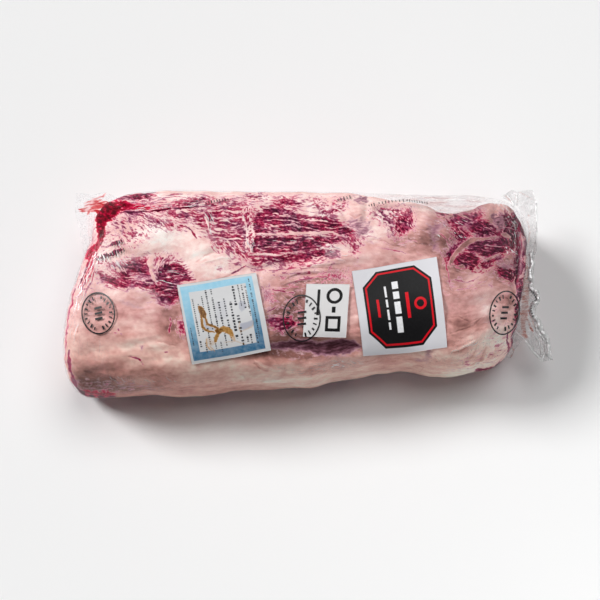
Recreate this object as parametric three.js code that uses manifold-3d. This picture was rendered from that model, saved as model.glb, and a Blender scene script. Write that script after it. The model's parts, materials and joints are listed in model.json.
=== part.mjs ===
// A whole boneless beef ribeye, vacuum packed in a clear shrink bag, with three paper labels.
//
// Millimetres, +Z up. The pack lies fat side up on the flat z = 0, with the origin under the
// middle of its outline. X runs along the loin, from the squared end at -X to the seal of the
// bag at +X; -Y is the near long side and +Y the far one. The bag is drawn tight round the
// meat, so the two are one solid. Where the bag bridges the hollow in the far side, the solid
// follows the bag. The loose film, which is the crimped seal with its tail and the flap at the
// other end, is joined on as thin fins.
//
// The pack is one closed surface. A line from the middle of one end, over the rounded end and
// along the side, to the middle of the other end is the meridian. Each point of it carries a
// rounded section of the pack, squarer below than above.

import * as THREE from 'three';
import { mergeVertices } from 'three/addons/utils/BufferGeometryUtils.js';
import Module from 'manifold-3d';

// ---- The pack ------------------------------------------------------------------------------

const END_LEFT = -213;
const END_RIGHT = 186;
const END_ROUNDING = 16; // radius between an end face and the sides
const HALF_WIDTH = 82; // of a typical section, which scales the end faces

// Outlines along the loin, as [x, y] for the near and far sides and [x, z] for the crest.
const NEAR_SIDE = [
  [-213, -87], [-197, -90], [-172, -91], [-147, -89], [-122, -90.5], [-102, -89.5],
  [-64, -84.5], [-29, -83], [3, -81], [20, -76], [40, -73], [60, -70], [80, -68],
  [108, -71.5], [133, -72], [150, -69], [163, -66], [186, -57],
];
const FAR_SIDE = [
  [-213, 74], [-192, 82], [-174, 87], [-152, 89], [-62, 89], [18, 88.5], [43, 87.5],
  [100, 86], [150, 84.5], [166, 82], [178, 77], [186, 70],
];
const CREST = [[-213, 90], [-162, 97], [-62, 98], [38, 96], [108, 93], [148, 92], [186, 86]];

// How far the end faces are cut back, as [y, inward], for the skewed ends of the loin.
const LEFT_CUT = [
  [-92, 0], [-45, 0], [-25, 2.5], [-8, 6], [7, 10.5], [21, 15], [35, 18.5], [49, 20], [90, 20],
];
const RIGHT_CUT = [
  [-92, 30], [-66, 17], [-50, 12], [-34, 10], [-20, 7.5], [-2, 4], [13, 1.5], [43, 0], [90, 0],
];
const LEFT_CUT_FROM = -103; // the cuts fade out from the ends to these x
const RIGHT_CUT_FROM = 100;
const CUT_FADE = 1.3;

const WIDEST_AT = 0.44; // height of the widest level, as a share of the crest
const UPPER_SQUARENESS = 2.9; // exponents of the section's two halves: 2 is an ellipse
const LOWER_SQUARENESS = 4.6;
const BASE_SINK = 1.06; // the lower half would reach this far down: z = 0 cuts it flat

// Swellings and hollows of the upper side: the middle, the reach along and across, the turn of
// that pair from the X axis in degrees, and the height, below zero for a hollow.
const FORMS = [
  { name: 'far right fat lump', x: 99, y: 54, along: 14, across: 12, turn: 0, height: 3.2 },
  { name: 'right fat lump', x: 146, y: 56, along: 16, across: 12, turn: -15, height: 3 },
  { name: 'far middle lump', x: 44, y: 62, along: 13, across: 10, turn: 20, height: 2 },
  { name: 'notch between the far lumps', x: 73, y: 46, along: 15, across: 15, turn: 30, height: -3 },
  { name: 'seam of the right end', x: 118, y: 30, along: 30, across: 8, turn: 12, height: -2.2 },
  { name: 'lean of the middle', x: -12, y: 52, along: 70, across: 19, turn: -4, height: -1.6 },
  { name: 'lean of the left', x: -135, y: 9, along: 38, across: 12, turn: -18, height: -1.8 },
  { name: 'fat island', x: -142, y: 36, along: 32, across: 11, turn: -10, height: 1.6 },
  { name: 'upper fat fold', x: -4, y: 8, along: 44, across: 4, turn: 14, height: 1.8 },
  { name: 'fat fold crease', x: 2, y: 18, along: 40, across: 4, turn: 12, height: -1.4 },
  { name: 'near hollow', x: 8, y: -60, along: 34, across: 8, turn: 6, height: -3 },
  { name: 'near left swelling', x: -160, y: -62, along: 42, across: 24, turn: 0, height: 1.6 },
  { name: 'near right swelling', x: 92, y: -62, along: 36, across: 10, turn: 4, height: 1.4 },
  { name: 'right end sag', x: 164, y: 0, along: 18, across: 34, turn: 0, height: -1.6 },
];

// Slow unevenness of the sides: height, then waves per millimetre along x and y, and a phase.
const UNEVENNESS = [
  { height: 0.7, perX: 0.071, perY: 0.043, phase: 0.4 },
  { height: 0.5, perX: -0.052, perY: 0.093, phase: 2.1 },
  { height: 0.4, perX: 0.127, perY: 0.061, phase: 4.4 },
];

const RINGS = 82;
const SPOKES = 50;
const UPPER_SPOKE_SHARE = 1.5; // spokes stand this much closer on the upper half

// ---- Loose film ----------------------------------------------------------------------------

const FILM_THICKNESS = 1.2; // of the crumpled double layer
// Lines of the fins as [x, y, z]. On each fin, outwards and then along turn anticlockwise.
const SEAL_OUTER = [
  [211.4, -55.7, 22], [205.7, -44.5, 28], [199.8, -32, 36], [194.2, -17, 42], [197.8, -7, 44],
  [192, 5, 46], [195, 20, 47], [198.4, 51, 49], [200.6, 81, 48], [194, 91, 47], [186, 92, 46],
];
const SEAL_INNER = [
  [201.8, -54, 22], [182, -37, 28], [168, -28, 36], [169, -17, 42], [171, -7, 44],
  [173, 5, 46], [174, 20, 47], [173, 48, 49], [170, 68, 48], [164, 73, 47], [158, 74, 46],
];
const FLAP_OUTER = [
  [-191, 84, 62], [-200, 83, 60], [-209, 76, 58], [-207, 58, 56], [-204, 40, 55], [-201, 25, 54],
];
const FLAP_INNER = [
  [-168, 80, 62], [-176, 77, 60], [-182, 70, 58], [-180, 58, 56], [-182, 42, 55], [-186, 28, 54],
];
const RIPPLE_HEIGHT = 1.8;
const SEAL_RIPPLES = 9;
const FLAP_RIPPLES = 4;

// ---- Labels --------------------------------------------------------------------------------

const LABEL_GAP = 0.6; // above the bag
const LABEL_THICKNESS = 0.5;
const LABEL_CELLS = 12; // along each edge

// Corners as laid on the pack and seen from above: far left, far right, near right, near left.
const LABELS = [
  {
    name: 'stock_label',
    corners: [[-115.5, -8.6], [-48.6, 2.7], [-35.8, -62.2], [-102.4, -73.8]],
    material: new THREE.MeshStandardMaterial({ color: 0x93bdd2, roughness: 0.45, metalness: 0 }),
  },
  {
    name: 'grade_label',
    corners: [[-5.9, -7], [30.8, -7.3], [27.7, -51.1], [-8.9, -51.1]],
    material: new THREE.MeshStandardMaterial({ color: 0xeeeeec, roughness: 0.5, metalness: 0 }),
  },
  {
    name: 'front_label',
    corners: [[32.6, 4.3], [105.3, 18.1], [113.7, -57.8], [42.4, -64.3]],
    material: new THREE.MeshStandardMaterial({ color: 0xf4f2f2, roughness: 0.6, metalness: 0 }),
  },
];

const packMaterial = new THREE.MeshStandardMaterial({
  color: 0xd3a5a2,
  roughness: 0.28,
  metalness: 0,
});

// ---- Curves --------------------------------------------------------------------------------

const clamp01 = (t) => Math.min(Math.max(t, 0), 1);

/** Slope of a table at its knot k, from the knots on both sides of it. */
function slopeAt(table, k) {
  const before = table[Math.max(k - 1, 0)];
  const after = table[Math.min(k + 1, table.length - 1)];
  if (k === 0 || k === table.length - 1) return (after[1] - before[1]) / (after[0] - before[0]);
  const stepIn = table[k][0] - before[0];
  const stepOut = after[0] - table[k][0];
  const rise = stepIn * stepIn * (after[1] - table[k][1]) + stepOut * stepOut * (table[k][1] - before[1]);
  return rise / (stepIn * stepOut * (stepIn + stepOut));
}

/** Smooth curve through the [x, value] pairs of a table, flat beyond its ends. */
function curveThrough(table) {
  const slopes = table.map((_, k) => slopeAt(table, k));
  return (x) => {
    let k = 0;
    while (k < table.length - 2 && x > table[k + 1][0]) k += 1;
    const [x0, y0] = table[k];
    const [x1, y1] = table[k + 1];
    const width = x1 - x0;
    const t = clamp01((x - x0) / width);
    const rise = y1 - y0;
    const bend = (slopes[k] * (1 - t) - slopes[k + 1] * t) * width + rise * (2 * t - 1);
    return y0 + rise * t + t * (1 - t) * bend;
  };
}

const nearSide = curveThrough(NEAR_SIDE);
const farSide = curveThrough(FAR_SIDE);
const crest = curveThrough(CREST);
const leftCut = curveThrough(LEFT_CUT);
const rightCut = curveThrough(RIGHT_CUT);

// ---- The pack's surface --------------------------------------------------------------------

const FLAT_END = HALF_WIDTH - END_ROUNDING;
const END_LENGTH = FLAT_END + (Math.PI / 2) * END_ROUNDING;
const SIDE_LENGTH = END_RIGHT - END_LEFT - 2 * END_ROUNDING;
const MERIDIAN = 2 * END_LENGTH + SIDE_LENGTH;

/** Depth behind the end face, and the share of the full section, at a length from the pole. */
function roundedEnd(length) {
  if (length < FLAT_END) return { depth: 0, share: length / HALF_WIDTH };
  const angle = (length - FLAT_END) / END_ROUNDING;
  return {
    depth: END_ROUNDING * (1 - Math.cos(angle)),
    share: (FLAT_END + END_ROUNDING * Math.sin(angle)) / HALF_WIDTH,
  };
}

/** Station x and share of the section at a length along the meridian. */
function meridianAt(length) {
  if (length < END_LENGTH) {
    const { depth, share } = roundedEnd(length);
    return { x: END_LEFT + depth, share };
  }
  if (length > MERIDIAN - END_LENGTH) {
    const { depth, share } = roundedEnd(MERIDIAN - length);
    return { x: END_RIGHT - depth, share };
  }
  return { x: END_LEFT + END_ROUNDING + length - END_LENGTH, share: 1 };
}

/** Height that the swellings, hollows and slow unevenness add at x, y. */
function reliefAt(x, y) {
  let height = 0;
  for (const form of FORMS) {
    const turn = THREE.MathUtils.degToRad(form.turn);
    const dx = x - form.x;
    const dy = y - form.y;
    const along = (dx * Math.cos(turn) + dy * Math.sin(turn)) / form.along;
    const across = (dy * Math.cos(turn) - dx * Math.sin(turn)) / form.across;
    height += form.height * Math.exp(-along * along - across * across);
  }
  for (const wave of UNEVENNESS) {
    height += wave.height * Math.sin(wave.perX * x + wave.perY * y + wave.phase);
  }
  return height;
}

/** Middle, half width, widest level and upper half height of the section at x. */
function sectionAt(x) {
  const near = nearSide(x);
  const far = farSide(x);
  const widest = WIDEST_AT * crest(x);
  return {
    middle: (near + far) / 2,
    halfWidth: (far - near) / 2,
    widest,
    upperHeight: crest(x) - widest,
  };
}

/**
 * Point of the pack at a length along the meridian and an angle round the section. Each half of
 * the section is a superellipse about its widest level. It is shrunk towards that level's middle
 * on the end faces, cut flat at z = 0, raised by the relief on its upper side, and its ends are
 * skewed by the two cuts.
 */
function packPoint(length, angle) {
  const { x, share } = meridianAt(length);
  const { middle, halfWidth, widest, upperHeight } = sectionAt(x);
  const cos = Math.cos(angle);
  const sin = Math.sin(angle);
  const upper = sin >= 0;
  const halfHeight = upper ? upperHeight : widest * BASE_SINK;
  const squareness = upper ? UPPER_SQUARENESS : LOWER_SQUARENESS;
  const reach =
    (Math.abs(cos / halfWidth) ** squareness + Math.abs(sin / halfHeight) ** squareness) **
    (-1 / squareness);
  const y = middle + share * reach * cos;
  const flatZ = Math.max(widest + share * reach * sin, 0);
  const raised = clamp01((flatZ - widest) / upperHeight);
  const z = flatZ + share * raised * reliefAt(x, y);
  const fadeLeft = clamp01((LEFT_CUT_FROM - x) / (LEFT_CUT_FROM - END_LEFT)) ** CUT_FADE;
  const fadeRight = clamp01((x - RIGHT_CUT_FROM) / (END_RIGHT - RIGHT_CUT_FROM)) ** CUT_FADE;
  return new THREE.Vector3(x + leftCut(y) * fadeLeft - rightCut(y) * fadeRight, y, z);
}

/** Height of the pack's upper side at x, y between its rounded ends. */
function upperHeightAt(x, y) {
  const { middle, halfWidth, widest, upperHeight } = sectionAt(x);
  const offset = Math.abs((y - middle) / halfWidth);
  const raised = (1 - offset ** UPPER_SQUARENESS) ** (1 / UPPER_SQUARENESS);
  return widest + raised * (upperHeight + reliefAt(x, y));
}

/** Angles round the section, closer together on the upper half. */
function spokeAngles() {
  const upperCount = Math.round((SPOKES * UPPER_SPOKE_SHARE) / (1 + UPPER_SPOKE_SHARE));
  const lowerCount = SPOKES - upperCount;
  const angles = [];
  for (let k = 0; k < upperCount; k += 1) angles.push((Math.PI * k) / upperCount);
  for (let k = 0; k < lowerCount; k += 1) angles.push(Math.PI * (1 + k / lowerCount));
  return angles;
}

function packGeometry() {
  const angles = spokeAngles();
  const positions = [packPoint(0, 0), packPoint(MERIDIAN, 0)];
  for (let ring = 1; ring < RINGS; ring += 1) {
    for (const angle of angles) positions.push(packPoint((MERIDIAN * ring) / RINGS, angle));
  }
  const at = (ring, spoke) => 2 + (ring - 1) * SPOKES + (spoke % SPOKES);
  const faces = [];
  for (let spoke = 0; spoke < SPOKES; spoke += 1) {
    faces.push(0, at(1, spoke + 1), at(1, spoke));
    faces.push(1, at(RINGS - 1, spoke), at(RINGS - 1, spoke + 1));
    for (let ring = 1; ring < RINGS - 1; ring += 1) {
      faces.push(at(ring, spoke), at(ring, spoke + 1), at(ring + 1, spoke));
      faces.push(at(ring, spoke + 1), at(ring + 1, spoke + 1), at(ring + 1, spoke));
    }
  }
  const geometry = new THREE.BufferGeometry().setFromPoints(positions);
  geometry.setIndex(faces);
  return geometry;
}

// ---- Thin sheets ---------------------------------------------------------------------------

/**
 * Closed thin solid along a sheet. The sheet is a function of its two shares, each from 0 to 1,
 * and of a lift off it, and the solid reaches from one lift to the other.
 */
function sheetGeometry(sheet, columns, rows, lowLift, highLift) {
  const positions = [];
  for (const lift of [lowLift, highLift]) {
    for (let row = 0; row <= rows; row += 1) {
      for (let column = 0; column <= columns; column += 1) {
        positions.push(sheet(column / columns, row / rows, lift));
      }
    }
  }
  const layer = (columns + 1) * (rows + 1);
  const at = (column, row, upper) => upper * layer + row * (columns + 1) + column;
  const faces = [];
  const quad = (a, b, c, d) => faces.push(a, b, c, a, c, d);
  for (let row = 0; row < rows; row += 1) {
    for (let column = 0; column < columns; column += 1) {
      const cell = [[column, row], [column + 1, row], [column + 1, row + 1], [column, row + 1]];
      quad(...cell.map(([c, r]) => at(c, r, 1)));
      quad(...cell.reverse().map(([c, r]) => at(c, r, 0)));
    }
  }
  for (let column = 0; column < columns; column += 1) {
    quad(at(column, 0, 0), at(column + 1, 0, 0), at(column + 1, 0, 1), at(column, 0, 1));
    quad(at(column + 1, rows, 0), at(column, rows, 0), at(column, rows, 1), at(column + 1, rows, 1));
  }
  for (let row = 0; row < rows; row += 1) {
    quad(at(0, row + 1, 0), at(0, row, 0), at(0, row, 1), at(0, row + 1, 1));
    quad(at(columns, row, 0), at(columns, row + 1, 0), at(columns, row + 1, 1), at(columns, row, 1));
  }
  const geometry = new THREE.BufferGeometry().setFromPoints(positions);
  geometry.setIndex(faces);
  return geometry;
}

/** Rippled fin of loose film between an inner and an outer line, with more ripple outwards. */
function filmFin(innerLine, outerLine, ripples, columns) {
  const toCurve = (line) => new THREE.CatmullRomCurve3(line.map((point) => new THREE.Vector3(...point)));
  const inner = toCurve(innerLine);
  const outer = toCurve(outerLine);
  const sheet = (outwards, along, lift) => {
    const point = inner.getPoint(along).lerp(outer.getPoint(along), outwards);
    point.z += RIPPLE_HEIGHT * outwards * Math.sin(2 * Math.PI * ripples * along) + lift;
    return point;
  };
  return sheetGeometry(sheet, 3, columns, -FILM_THICKNESS / 2, FILM_THICKNESS / 2);
}

/** Point at a lift off the pack's upper side, square to the surface there. */
function liftedPoint(x, y, lift) {
  const step = 0.5;
  const slopeX = (upperHeightAt(x + step, y) - upperHeightAt(x - step, y)) / (2 * step);
  const slopeY = (upperHeightAt(x, y + step) - upperHeightAt(x, y - step)) / (2 * step);
  const normal = new THREE.Vector3(-slopeX, -slopeY, 1).normalize();
  return new THREE.Vector3(x, y, upperHeightAt(x, y)).addScaledVector(normal, lift);
}

/** A label between its four corners, draped on the pack. */
function labelGeometry(corners) {
  const [farLeft, farRight, nearRight, nearLeft] = corners.map((corner) => new THREE.Vector2(...corner));
  const sheet = (across, up, lift) => {
    const low = nearLeft.clone().lerp(nearRight, across);
    const high = farLeft.clone().lerp(farRight, across);
    const place = low.lerp(high, up);
    return liftedPoint(place.x, place.y, lift);
  };
  return sheetGeometry(sheet, LABEL_CELLS, LABEL_CELLS, LABEL_GAP, LABEL_GAP + LABEL_THICKNESS);
}

// ---- Joining -------------------------------------------------------------------------------

const wasm = await Module();
wasm.setup();

function toSolid(geometry) {
  const plain = geometry.clone();
  plain.deleteAttribute('normal');
  plain.deleteAttribute('uv');
  const merged = mergeVertices(plain);
  return new wasm.Manifold(
    new wasm.Mesh({
      numProp: 3,
      vertProperties: new Float32Array(merged.attributes.position.array),
      triVerts: new Uint32Array(merged.index.array),
    }),
  );
}

function toGeometry(solid) {
  const { vertProperties, triVerts } = solid.getMesh();
  const geometry = new THREE.BufferGeometry();
  geometry.setAttribute('position', new THREE.BufferAttribute(new Float32Array(vertProperties), 3));
  geometry.setIndex(new THREE.BufferAttribute(new Uint32Array(triVerts), 1));
  geometry.computeVertexNormals();
  return geometry;
}

// ---- The part ------------------------------------------------------------------------------

const sealFin = filmFin(SEAL_INNER, SEAL_OUTER, SEAL_RIPPLES, 54);
const flapFin = filmFin(FLAP_INNER, FLAP_OUTER, FLAP_RIPPLES, 24);
const packSolid = toSolid(packGeometry()).add(toSolid(sealFin)).add(toSolid(flapFin));

const part = new THREE.Group();
const pack = new THREE.Mesh(toGeometry(packSolid), packMaterial);
pack.name = 'sealed_ribeye';
part.add(pack);

for (const { name, corners, material } of LABELS) {
  const label = new THREE.Mesh(labelGeometry(corners), material);
  label.name = name;
  part.add(label);
}

export default part;
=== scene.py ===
"""A whole boneless beef ribeye, vacuum packed in a clear shrink bag, with three paper labels.

Shapes are worked out in millimetres with numpy and put into meshes in metres. The pack's
surface is a function of a length along its meridian and an angle round its section, the same
as the solid's. The meat lies just under that surface, the tight film is on it, and labels and
ink lie on the film. What is laid out is given as places in the photograph's 600 x 600
frame, which the camera below shares.
"""
import json
import math

import bpy
import numpy as np
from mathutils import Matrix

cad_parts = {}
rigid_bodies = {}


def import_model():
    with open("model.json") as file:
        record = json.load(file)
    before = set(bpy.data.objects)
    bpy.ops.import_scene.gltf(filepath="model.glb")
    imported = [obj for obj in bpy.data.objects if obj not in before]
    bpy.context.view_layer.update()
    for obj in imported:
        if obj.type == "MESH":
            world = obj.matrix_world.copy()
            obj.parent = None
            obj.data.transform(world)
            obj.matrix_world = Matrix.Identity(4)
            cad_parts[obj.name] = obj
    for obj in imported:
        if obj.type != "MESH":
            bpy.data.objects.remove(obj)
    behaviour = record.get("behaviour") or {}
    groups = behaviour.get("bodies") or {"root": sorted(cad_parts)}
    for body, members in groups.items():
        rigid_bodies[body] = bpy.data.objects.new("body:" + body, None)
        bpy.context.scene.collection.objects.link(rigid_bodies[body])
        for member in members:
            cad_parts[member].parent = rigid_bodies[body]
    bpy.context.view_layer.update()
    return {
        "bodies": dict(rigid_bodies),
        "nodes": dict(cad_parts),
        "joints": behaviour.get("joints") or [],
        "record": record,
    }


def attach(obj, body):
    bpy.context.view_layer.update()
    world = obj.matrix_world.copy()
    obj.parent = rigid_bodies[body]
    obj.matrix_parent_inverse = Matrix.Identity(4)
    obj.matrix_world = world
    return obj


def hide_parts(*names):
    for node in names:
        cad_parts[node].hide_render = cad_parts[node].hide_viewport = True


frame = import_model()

MM = 0.001

# ---- Camera --------------------------------------------------------------------------------

PHOTO_SIZE = 600
LENS_MM = 100.0
SENSOR_MM = 36.0
CAMERA_TILT = math.radians(75.0)  # elevation above the floor
CAMERA_DISTANCE = 1458.0
CAMERA_AIM = np.array([-11.25, -8.35, 50.0])
FOCAL_PX = LENS_MM / SENSOR_MM * PHOTO_SIZE
PX_PER_MM = FOCAL_PX / CAMERA_DISTANCE
TILT_COS, TILT_SIN = math.cos(CAMERA_TILT), math.sin(CAMERA_TILT)


def photo_place(points):
    """Where points in mm stand in the photograph: x right and y down, in pixels."""
    offset = points - CAMERA_AIM
    x, y, z = offset[..., 0], offset[..., 1], offset[..., 2]
    depth = CAMERA_DISTANCE + y * TILT_COS - z * TILT_SIN
    rise = y * TILT_SIN + z * TILT_COS
    return PHOTO_SIZE / 2 + FOCAL_PX * x / depth, PHOTO_SIZE / 2 - FOCAL_PX * rise / depth


def from_photo(px, py, height):
    """Points in mm at a height over the floor that stand at places in the photograph."""
    rise = (PHOTO_SIZE / 2 - py) / FOCAL_PX
    above = height - CAMERA_AIM[2]
    y = rise * (CAMERA_DISTANCE - above * TILT_SIN) - above * TILT_COS
    y = y / (TILT_SIN - rise * TILT_COS)
    x = (px - PHOTO_SIZE / 2) / FOCAL_PX * (CAMERA_DISTANCE + y * TILT_COS - above * TILT_SIN)
    return np.stack([x + CAMERA_AIM[0], y + CAMERA_AIM[1], height + 0 * x], -1)


# ---- The pack's surface --------------------------------------------------------------------

END_LEFT, END_RIGHT = -213.0, 186.0
END_ROUNDING = 16.0
HALF_WIDTH = 82.0

NEAR_SIDE = [
    (-213, -87), (-197, -90), (-172, -91), (-147, -89), (-122, -90.5), (-102, -89.5),
    (-64, -84.5), (-29, -83), (3, -81), (20, -76), (40, -73), (60, -70), (80, -68),
    (108, -71.5), (133, -72), (150, -69), (163, -66), (186, -57),
]
FAR_SIDE = [
    (-213, 74), (-192, 82), (-174, 87), (-152, 89), (-62, 89), (18, 88.5), (43, 87.5),
    (100, 86), (150, 84.5), (166, 82), (178, 77), (186, 70),
]
CREST = [(-213, 90), (-162, 97), (-62, 98), (38, 96), (108, 93), (148, 92), (186, 86)]
LEFT_CUT = [
    (-92, 0), (-45, 0), (-25, 2.5), (-8, 6), (7, 10.5), (21, 15), (35, 18.5), (49, 20), (90, 20),
]
RIGHT_CUT = [
    (-92, 30), (-66, 17), (-50, 12), (-34, 10), (-20, 7.5), (-2, 4), (13, 1.5), (43, 0), (90, 0),
]
# How far the meat draws back from the film that bridges its far side.
FAR_DIP = [
    (40, 0), (60, 3), (78, 5), (96, 7.5), (112, 13.5), (124, 16), (138, 12.5), (152, 3.5), (168, 0),
]
LEFT_CUT_FROM, RIGHT_CUT_FROM, CUT_FADE = -103.0, 100.0, 1.3
WIDEST_AT = 0.44
UPPER_SQUARENESS, LOWER_SQUARENESS = 2.9, 4.6
BASE_SINK = 1.06

# Swellings and hollows: middle x, y, reach along and across, turn in degrees, height.
FORMS = [
    (99, 54, 14, 12, 0, 3.2),  # far right fat lump
    (146, 56, 16, 12, -15, 3),  # right fat lump
    (44, 62, 13, 10, 20, 2),  # far middle lump
    (73, 46, 15, 15, 30, -3),  # notch between the far lumps
    (118, 30, 30, 8, 12, -2.2),  # seam of the right end
    (-12, 52, 70, 19, -4, -1.6),  # lean of the middle
    (-135, 9, 38, 12, -18, -1.8),  # lean of the left
    (-142, 36, 32, 11, -10, 1.6),  # fat island
    (-4, 8, 44, 4, 14, 1.8),  # upper fat fold
    (2, 18, 40, 4, 12, -1.4),  # fat fold crease
    (8, -60, 34, 8, 6, -3),  # near hollow
    (-160, -62, 42, 24, 0, 1.6),  # near left swelling
    (92, -62, 36, 10, 4, 1.4),  # near right swelling
    (164, 0, 18, 34, 0, -1.6),  # right end sag
]
# Slow unevenness: height, waves per mm along x and y, phase.
UNEVENNESS = [(0.7, 0.071, 0.043, 0.4), (0.5, -0.052, 0.093, 2.1), (0.4, 0.127, 0.061, 4.4)]

FLAT_END = HALF_WIDTH - END_ROUNDING
END_LENGTH = FLAT_END + math.pi / 2 * END_ROUNDING
SIDE_LENGTH = END_RIGHT - END_LEFT - 2 * END_ROUNDING
MERIDIAN = 2 * END_LENGTH + SIDE_LENGTH
POLE_GAP = 0.05


def curve_through(table):
    """Smooth curve through pairs: cubic pieces whose slopes come from the knots on both sides."""
    knots, values = np.array(table, float).T
    slopes = np.gradient(values, knots)

    def curve(x):
        """Value at x, held beyond the first and last knot."""
        k = np.clip(np.searchsorted(knots, x) - 1, 0, len(knots) - 2)
        width = knots[k + 1] - knots[k]
        t = np.clip((x - knots[k]) / width, 0, 1)
        rise = values[k + 1] - values[k]
        bend = (slopes[k] * (1 - t) - slopes[k + 1] * t) * width + rise * (2 * t - 1)
        return values[k] + rise * t + t * (1 - t) * bend

    return curve


near_side = curve_through(NEAR_SIDE)
far_side = curve_through(FAR_SIDE)
crest = curve_through(CREST)
left_cut = curve_through(LEFT_CUT)
right_cut = curve_through(RIGHT_CUT)
far_dip = curve_through(FAR_DIP)


def meridian_at(length):
    """Station x and share of the full section along the meridian: flat end, quarter round, side."""
    from_pole = np.minimum(length, MERIDIAN - length)
    angle = np.clip((from_pole - FLAT_END) / END_ROUNDING, 0, math.pi / 2)
    depth = END_ROUNDING * (1 - np.cos(angle))
    share = np.where(
        from_pole < FLAT_END, from_pole, FLAT_END + END_ROUNDING * np.sin(angle)
    ) / HALF_WIDTH
    inward = depth + np.maximum(from_pole - END_LENGTH, 0)
    x = np.where(length < MERIDIAN / 2, END_LEFT + inward, END_RIGHT - inward)
    return x, share


def cos_sin(degrees):
    """Cosine and sine of an angle in degrees."""
    return math.cos(math.radians(degrees)), math.sin(math.radians(degrees))


def zone(x, y, places, down=1):
    """Sum of bell-shaped strengths about places; `down` is -1 where y runs up, not down."""
    total = np.zeros(x.shape)
    for middle_x, middle_y, along, across, turn, strength in places:
        cos, sin = cos_sin(down * turn)
        dx, dy = x - middle_x, y - middle_y
        a, b = (dx * cos - dy * sin) / along, (dx * sin + dy * cos) / across
        total += strength * np.exp(-a * a - b * b)
    return total


def slow_relief(x, y):
    """Sum of bell-shaped swellings and of slow waves."""
    height = zone(x, y, FORMS, down=-1)
    for rise, per_x, per_y, phase in UNEVENNESS:
        height += rise * np.sin(per_x * x + per_y * y + phase)
    return height


def pack_point(length, angle, dipped=False):
    """Superellipse halves about the widest level, scaled on the ends, cut flat, raised, skewed."""
    length, angle = np.broadcast_arrays(np.asarray(length, float), np.asarray(angle, float))
    x, share = meridian_at(length)
    near, far, top = near_side(x), far_side(x), crest(x)
    if dipped:
        far = far - far_dip(x)
    middle, half_width, widest = (near + far) / 2, (far - near) / 2, WIDEST_AT * top
    upper_height = top - widest
    cos, sin = np.cos(angle), np.sin(angle)
    upper = sin >= 0
    half_height = np.where(upper, upper_height, widest * BASE_SINK)
    squareness = np.where(upper, UPPER_SQUARENESS, LOWER_SQUARENESS)
    reach = (np.abs(cos / half_width) ** squareness + np.abs(sin / half_height) ** squareness) ** (
        -1 / squareness
    )
    y = middle + share * reach * cos
    flat_z = np.maximum(widest + share * reach * sin, 0)
    raised = np.clip((flat_z - widest) / upper_height, 0, 1)
    z = flat_z + share * raised * slow_relief(x, y)
    fade_left = np.clip((LEFT_CUT_FROM - x) / (LEFT_CUT_FROM - END_LEFT), 0, 1) ** CUT_FADE
    fade_right = np.clip((x - RIGHT_CUT_FROM) / (END_RIGHT - RIGHT_CUT_FROM), 0, 1) ** CUT_FADE
    return np.stack([x + left_cut(y) * fade_left - right_cut(y) * fade_right, y, z], -1)


def pack_normal(length, angle, dipped=False):
    """Outward unit normal, from the cross product of two small steps on the surface."""
    ahead, behind = (pack_point(length + step, angle, dipped) for step in (0.4, -0.4))
    after, before = (pack_point(length, angle + step, dipped) for step in (0.005, -0.005))
    normal = np.cross(after - before, ahead - behind)
    size = np.linalg.norm(normal, axis=-1, keepdims=True)
    return normal / np.maximum(size, 1e-9)


def lifted(length, angle, lift):
    """Surface points moved off along their normals by a lift in mm, one for all or one for each."""
    lift = np.broadcast_to(lift, length.shape)
    return pack_point(length, angle) + pack_normal(length, angle) * lift[..., None]


def find_on_pack(goal_x, goal_y, measure):
    """Length and angle where `measure` of the surface gives the goal, by Newton's steps."""
    goal_x, goal_y = np.broadcast_arrays(np.asarray(goal_x, float), np.asarray(goal_y, float))
    length = np.full(goal_x.shape, MERIDIAN / 2)
    angle = np.full(goal_x.shape, math.pi / 2)
    step_along, step_round = 0.5, 0.01
    for _ in range(14):
        here_x, here_y = measure(pack_point(length, angle))
        along_x, along_y = measure(pack_point(length + step_along, angle))
        round_x, round_y = measure(pack_point(length, angle + step_round))
        a, c = (along_x - here_x) / step_along, (along_y - here_y) / step_along
        b, d = (round_x - here_x) / step_round, (round_y - here_y) / step_round
        miss_x, miss_y = goal_x - here_x, goal_y - here_y
        det = a * d - b * c
        det = np.where(np.abs(det) < 1e-6, 1e-6, det)
        length = length + np.clip((miss_x * d - miss_y * b) / det, -60, 60)
        angle = angle + np.clip((miss_y * a - miss_x * c) / det, -0.35, 0.35)
        length = np.clip(length, 1, MERIDIAN - 1)
        angle = np.clip(angle, -0.3, math.pi + 0.3)
    return length, angle


def at_photo(px, py):
    """Length and angle on the pack behind a place in the photograph."""
    return find_on_pack(px, py, photo_place)


def at_plan(x, y):
    """Length and angle on the pack at x, y seen from straight above."""
    return find_on_pack(x, y, lambda points: (points[..., 0], points[..., 1]))


# ---- Noise and fields ----------------------------------------------------------------------

FAR_OFF = 1e9


def ramp(low, high, value):
    """0 below low, 1 above high, and a smooth S between."""
    t = np.clip((value - low) / (high - low), 0, 1)
    return t * t * (3 - 2 * t)


def noise(u, v, seed):
    """Gradient noise of two coordinates, about -1 to 1: slopes hashed at whole numbers, blended."""
    iu, iv = np.floor(u).astype(np.int64), np.floor(v).astype(np.int64)
    fu, fv = u - iu, v - iv
    wu, wv = fu**3 * (fu * (fu * 6 - 15) + 10), fv**3 * (fv * (fv * 6 - 15) + 10)
    total = 0
    for du in (0, 1):
        for dv in (0, 1):
            h = ((iu + du) * 374761393 + (iv + dv) * 668265263 + seed * 144269504) & 0x7FFFFFFF
            h = ((h ^ (h >> 13)) * 1274126177) & 0x7FFFFFFF
            turn = ((h ^ (h >> 16)) & 0xFFFF) * (2 * math.pi / 65536)
            slope = np.cos(turn) * (fu - du) + np.sin(turn) * (fv - dv)
            total = total + slope * (wu if du else 1 - wu) * (wv if dv else 1 - wv)
    return total * 1.5


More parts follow.
